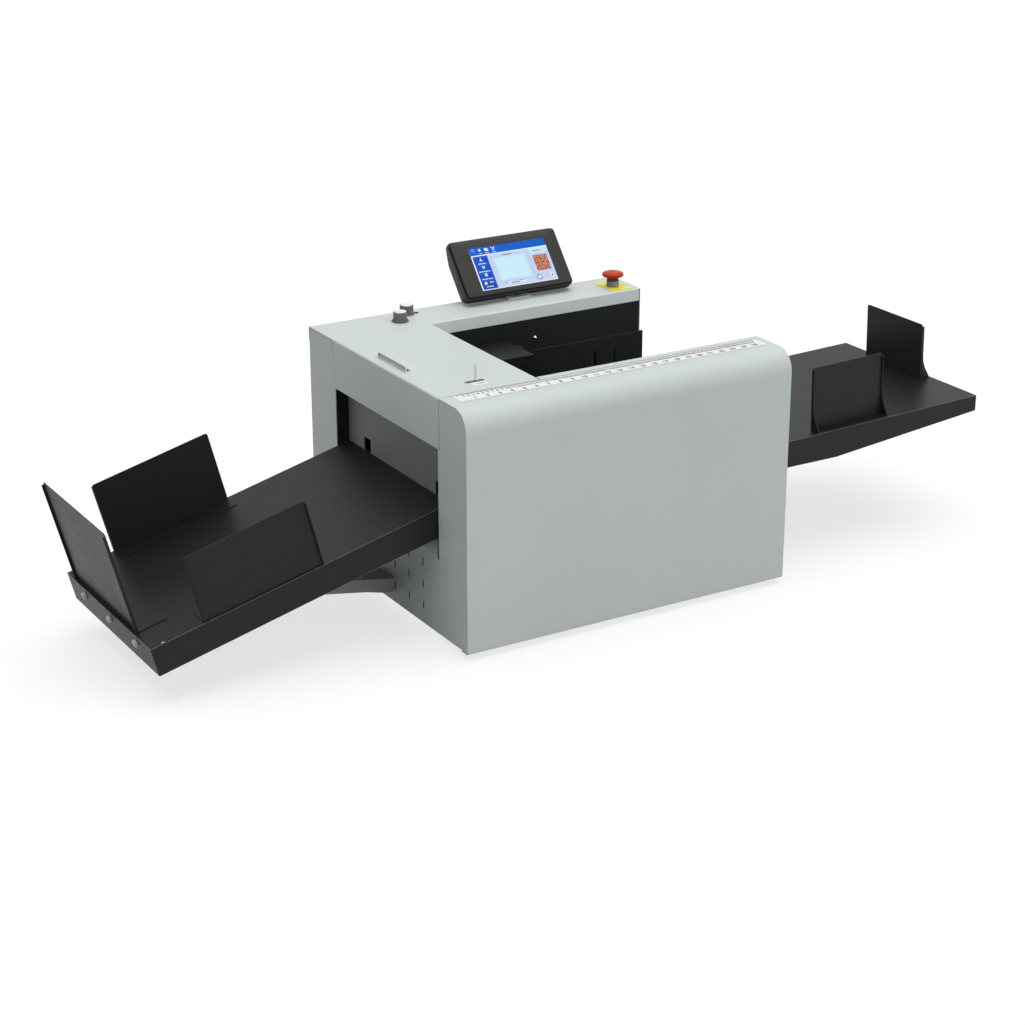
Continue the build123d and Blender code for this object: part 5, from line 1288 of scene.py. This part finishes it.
# ---------------------------------------------------------------- studio
class CREASER_OT_studio(bpy.types.Operator):
    """Pale floor, soft lamps, white room and the camera"""

    bl_idname = "creaser.studio"
    bl_label = "Set Up Studio"

    def execute(self, context):
        studio = context.scene.creaser_studio
        context.scene.view_settings.view_transform = "Standard"
        self.floor(studio)
        self.lamp("key_lamp", studio.key, Vector((0.10, 0.06, 1.0)), 70)
        self.lamp("front_lamp", studio.front, Vector((0.35, -1.0, 0.28)), 50)
        self.room(context, studio.room)
        camera = bpy.data.cameras.new("camera")
        camera.sensor_width = 36.0
        camera.lens = studio.focal
        camera.clip_start = 0.05
        camera.clip_end = 400.0
        holder = self.placed("camera", camera)
        holder.location = studio.camera
        holder.rotation_euler = (math.pi / 2 - studio.dip, 0.0, -studio.heading)
        context.scene.camera = holder
        return {"FINISHED"}

    def placed(self, name, data):
        holder = bpy.data.objects.new(name, data)
        bpy.context.scene.collection.objects.link(holder)
        return holder

    def floor(self, studio):
        mesh = bpy.data.meshes.new("floor")
        reach = studio.floor_reach
        corners = [(x, y, 0.0) for x, y in rectangle(-reach, reach, -reach, reach)]
        mesh.from_pydata(corners, [], [(0, 1, 2, 3)])
        floor = self.placed("floor", mesh)
        mesh.materials.append(floor_paint("floor_sweep", studio.floor, studio.floor_shade))

    def lamp(self, name, level, towards, spread):
        sun = bpy.data.lights.new(name, "SUN")
        sun.energy = math.pi * level
        sun.angle = math.radians(spread)
        self.placed(name, sun).rotation_euler = towards.to_track_quat("Z", "Y").to_euler()

    def room(self, context, level):
        world = bpy.data.worlds.new("room")
        context.scene.world = world
        world.use_nodes = True
        world.node_tree.nodes.clear()
        start = Wire(world.node_tree)
        white, light = (
            start.node("ShaderNodeBackground", {}, {"Color": WHITE, "Strength": strength}, "Background")
            for strength in (1.0, level)
        )
        room = start.node("ShaderNodeMixShader", {}, {0: seen(start), 1: light, 2: white})
        end(room, "ShaderNodeOutputWorld")


class CREASER_PT_sidebar(bpy.types.Panel):
    """Steps that dress the creasing machine"""

    bl_idname = "CREASER_PT_sidebar"
    bl_label = "Paper Creasing Machine"
    bl_space_type = "VIEW_3D"
    bl_region_type = "UI"
    bl_category = "Creaser"

    def draw(self, context):
        for operator in OPERATORS:
            self.layout.operator(operator.bl_idname)
        for group in SETTINGS:
            box = self.layout.box()
            settings = getattr(context.scene, group)
            for name in settings.__annotations__:
                box.prop(settings, name)


OPERATORS = (
    CREASER_OT_studio, CREASER_OT_covers, CREASER_OT_metals, CREASER_OT_mouldings, CREASER_OT_ruler,
    CREASER_OT_lever_label, CREASER_OT_knob_details, CREASER_OT_stop_button, CREASER_OT_hood_details,
    CREASER_OT_exit_details, CREASER_OT_display, CREASER_OT_tray_screws, CREASER_OT_cover_screws,
)
SETTINGS = {
    "creaser_colours": CreaserColours,
    "creaser_screen": CreaserScreen,
    "creaser_hardware": CreaserHardware,
    "creaser_studio": CreaserStudio,
}
CLASSES = (*SETTINGS.values(), *OPERATORS, CREASER_PT_sidebar)


def register():
    for group in CLASSES:
        bpy.utils.register_class(group)
    for name, group in SETTINGS.items():
        setattr(bpy.types.Scene, name, bpy.props.PointerProperty(type=group))


def unregister():
    for name in SETTINGS:
        delattr(bpy.types.Scene, name)
    for group in reversed(CLASSES):
        bpy.utils.unregister_class(group)


def main():
    register()
    bpy.ops.creaser.studio()
    bpy.ops.creaser.covers()
    bpy.ops.creaser.metals()
    bpy.ops.creaser.mouldings()
    bpy.ops.creaser.ruler()
    bpy.ops.creaser.lever_label()
    bpy.ops.creaser.knob_details()
    bpy.ops.creaser.stop_button()
    bpy.ops.creaser.hood_details()
    bpy.ops.creaser.exit_details()
    bpy.ops.creaser.display()
    bpy.ops.creaser.tray_screws()
    bpy.ops.creaser.cover_screws()


if __name__ == "__main__":
    main()
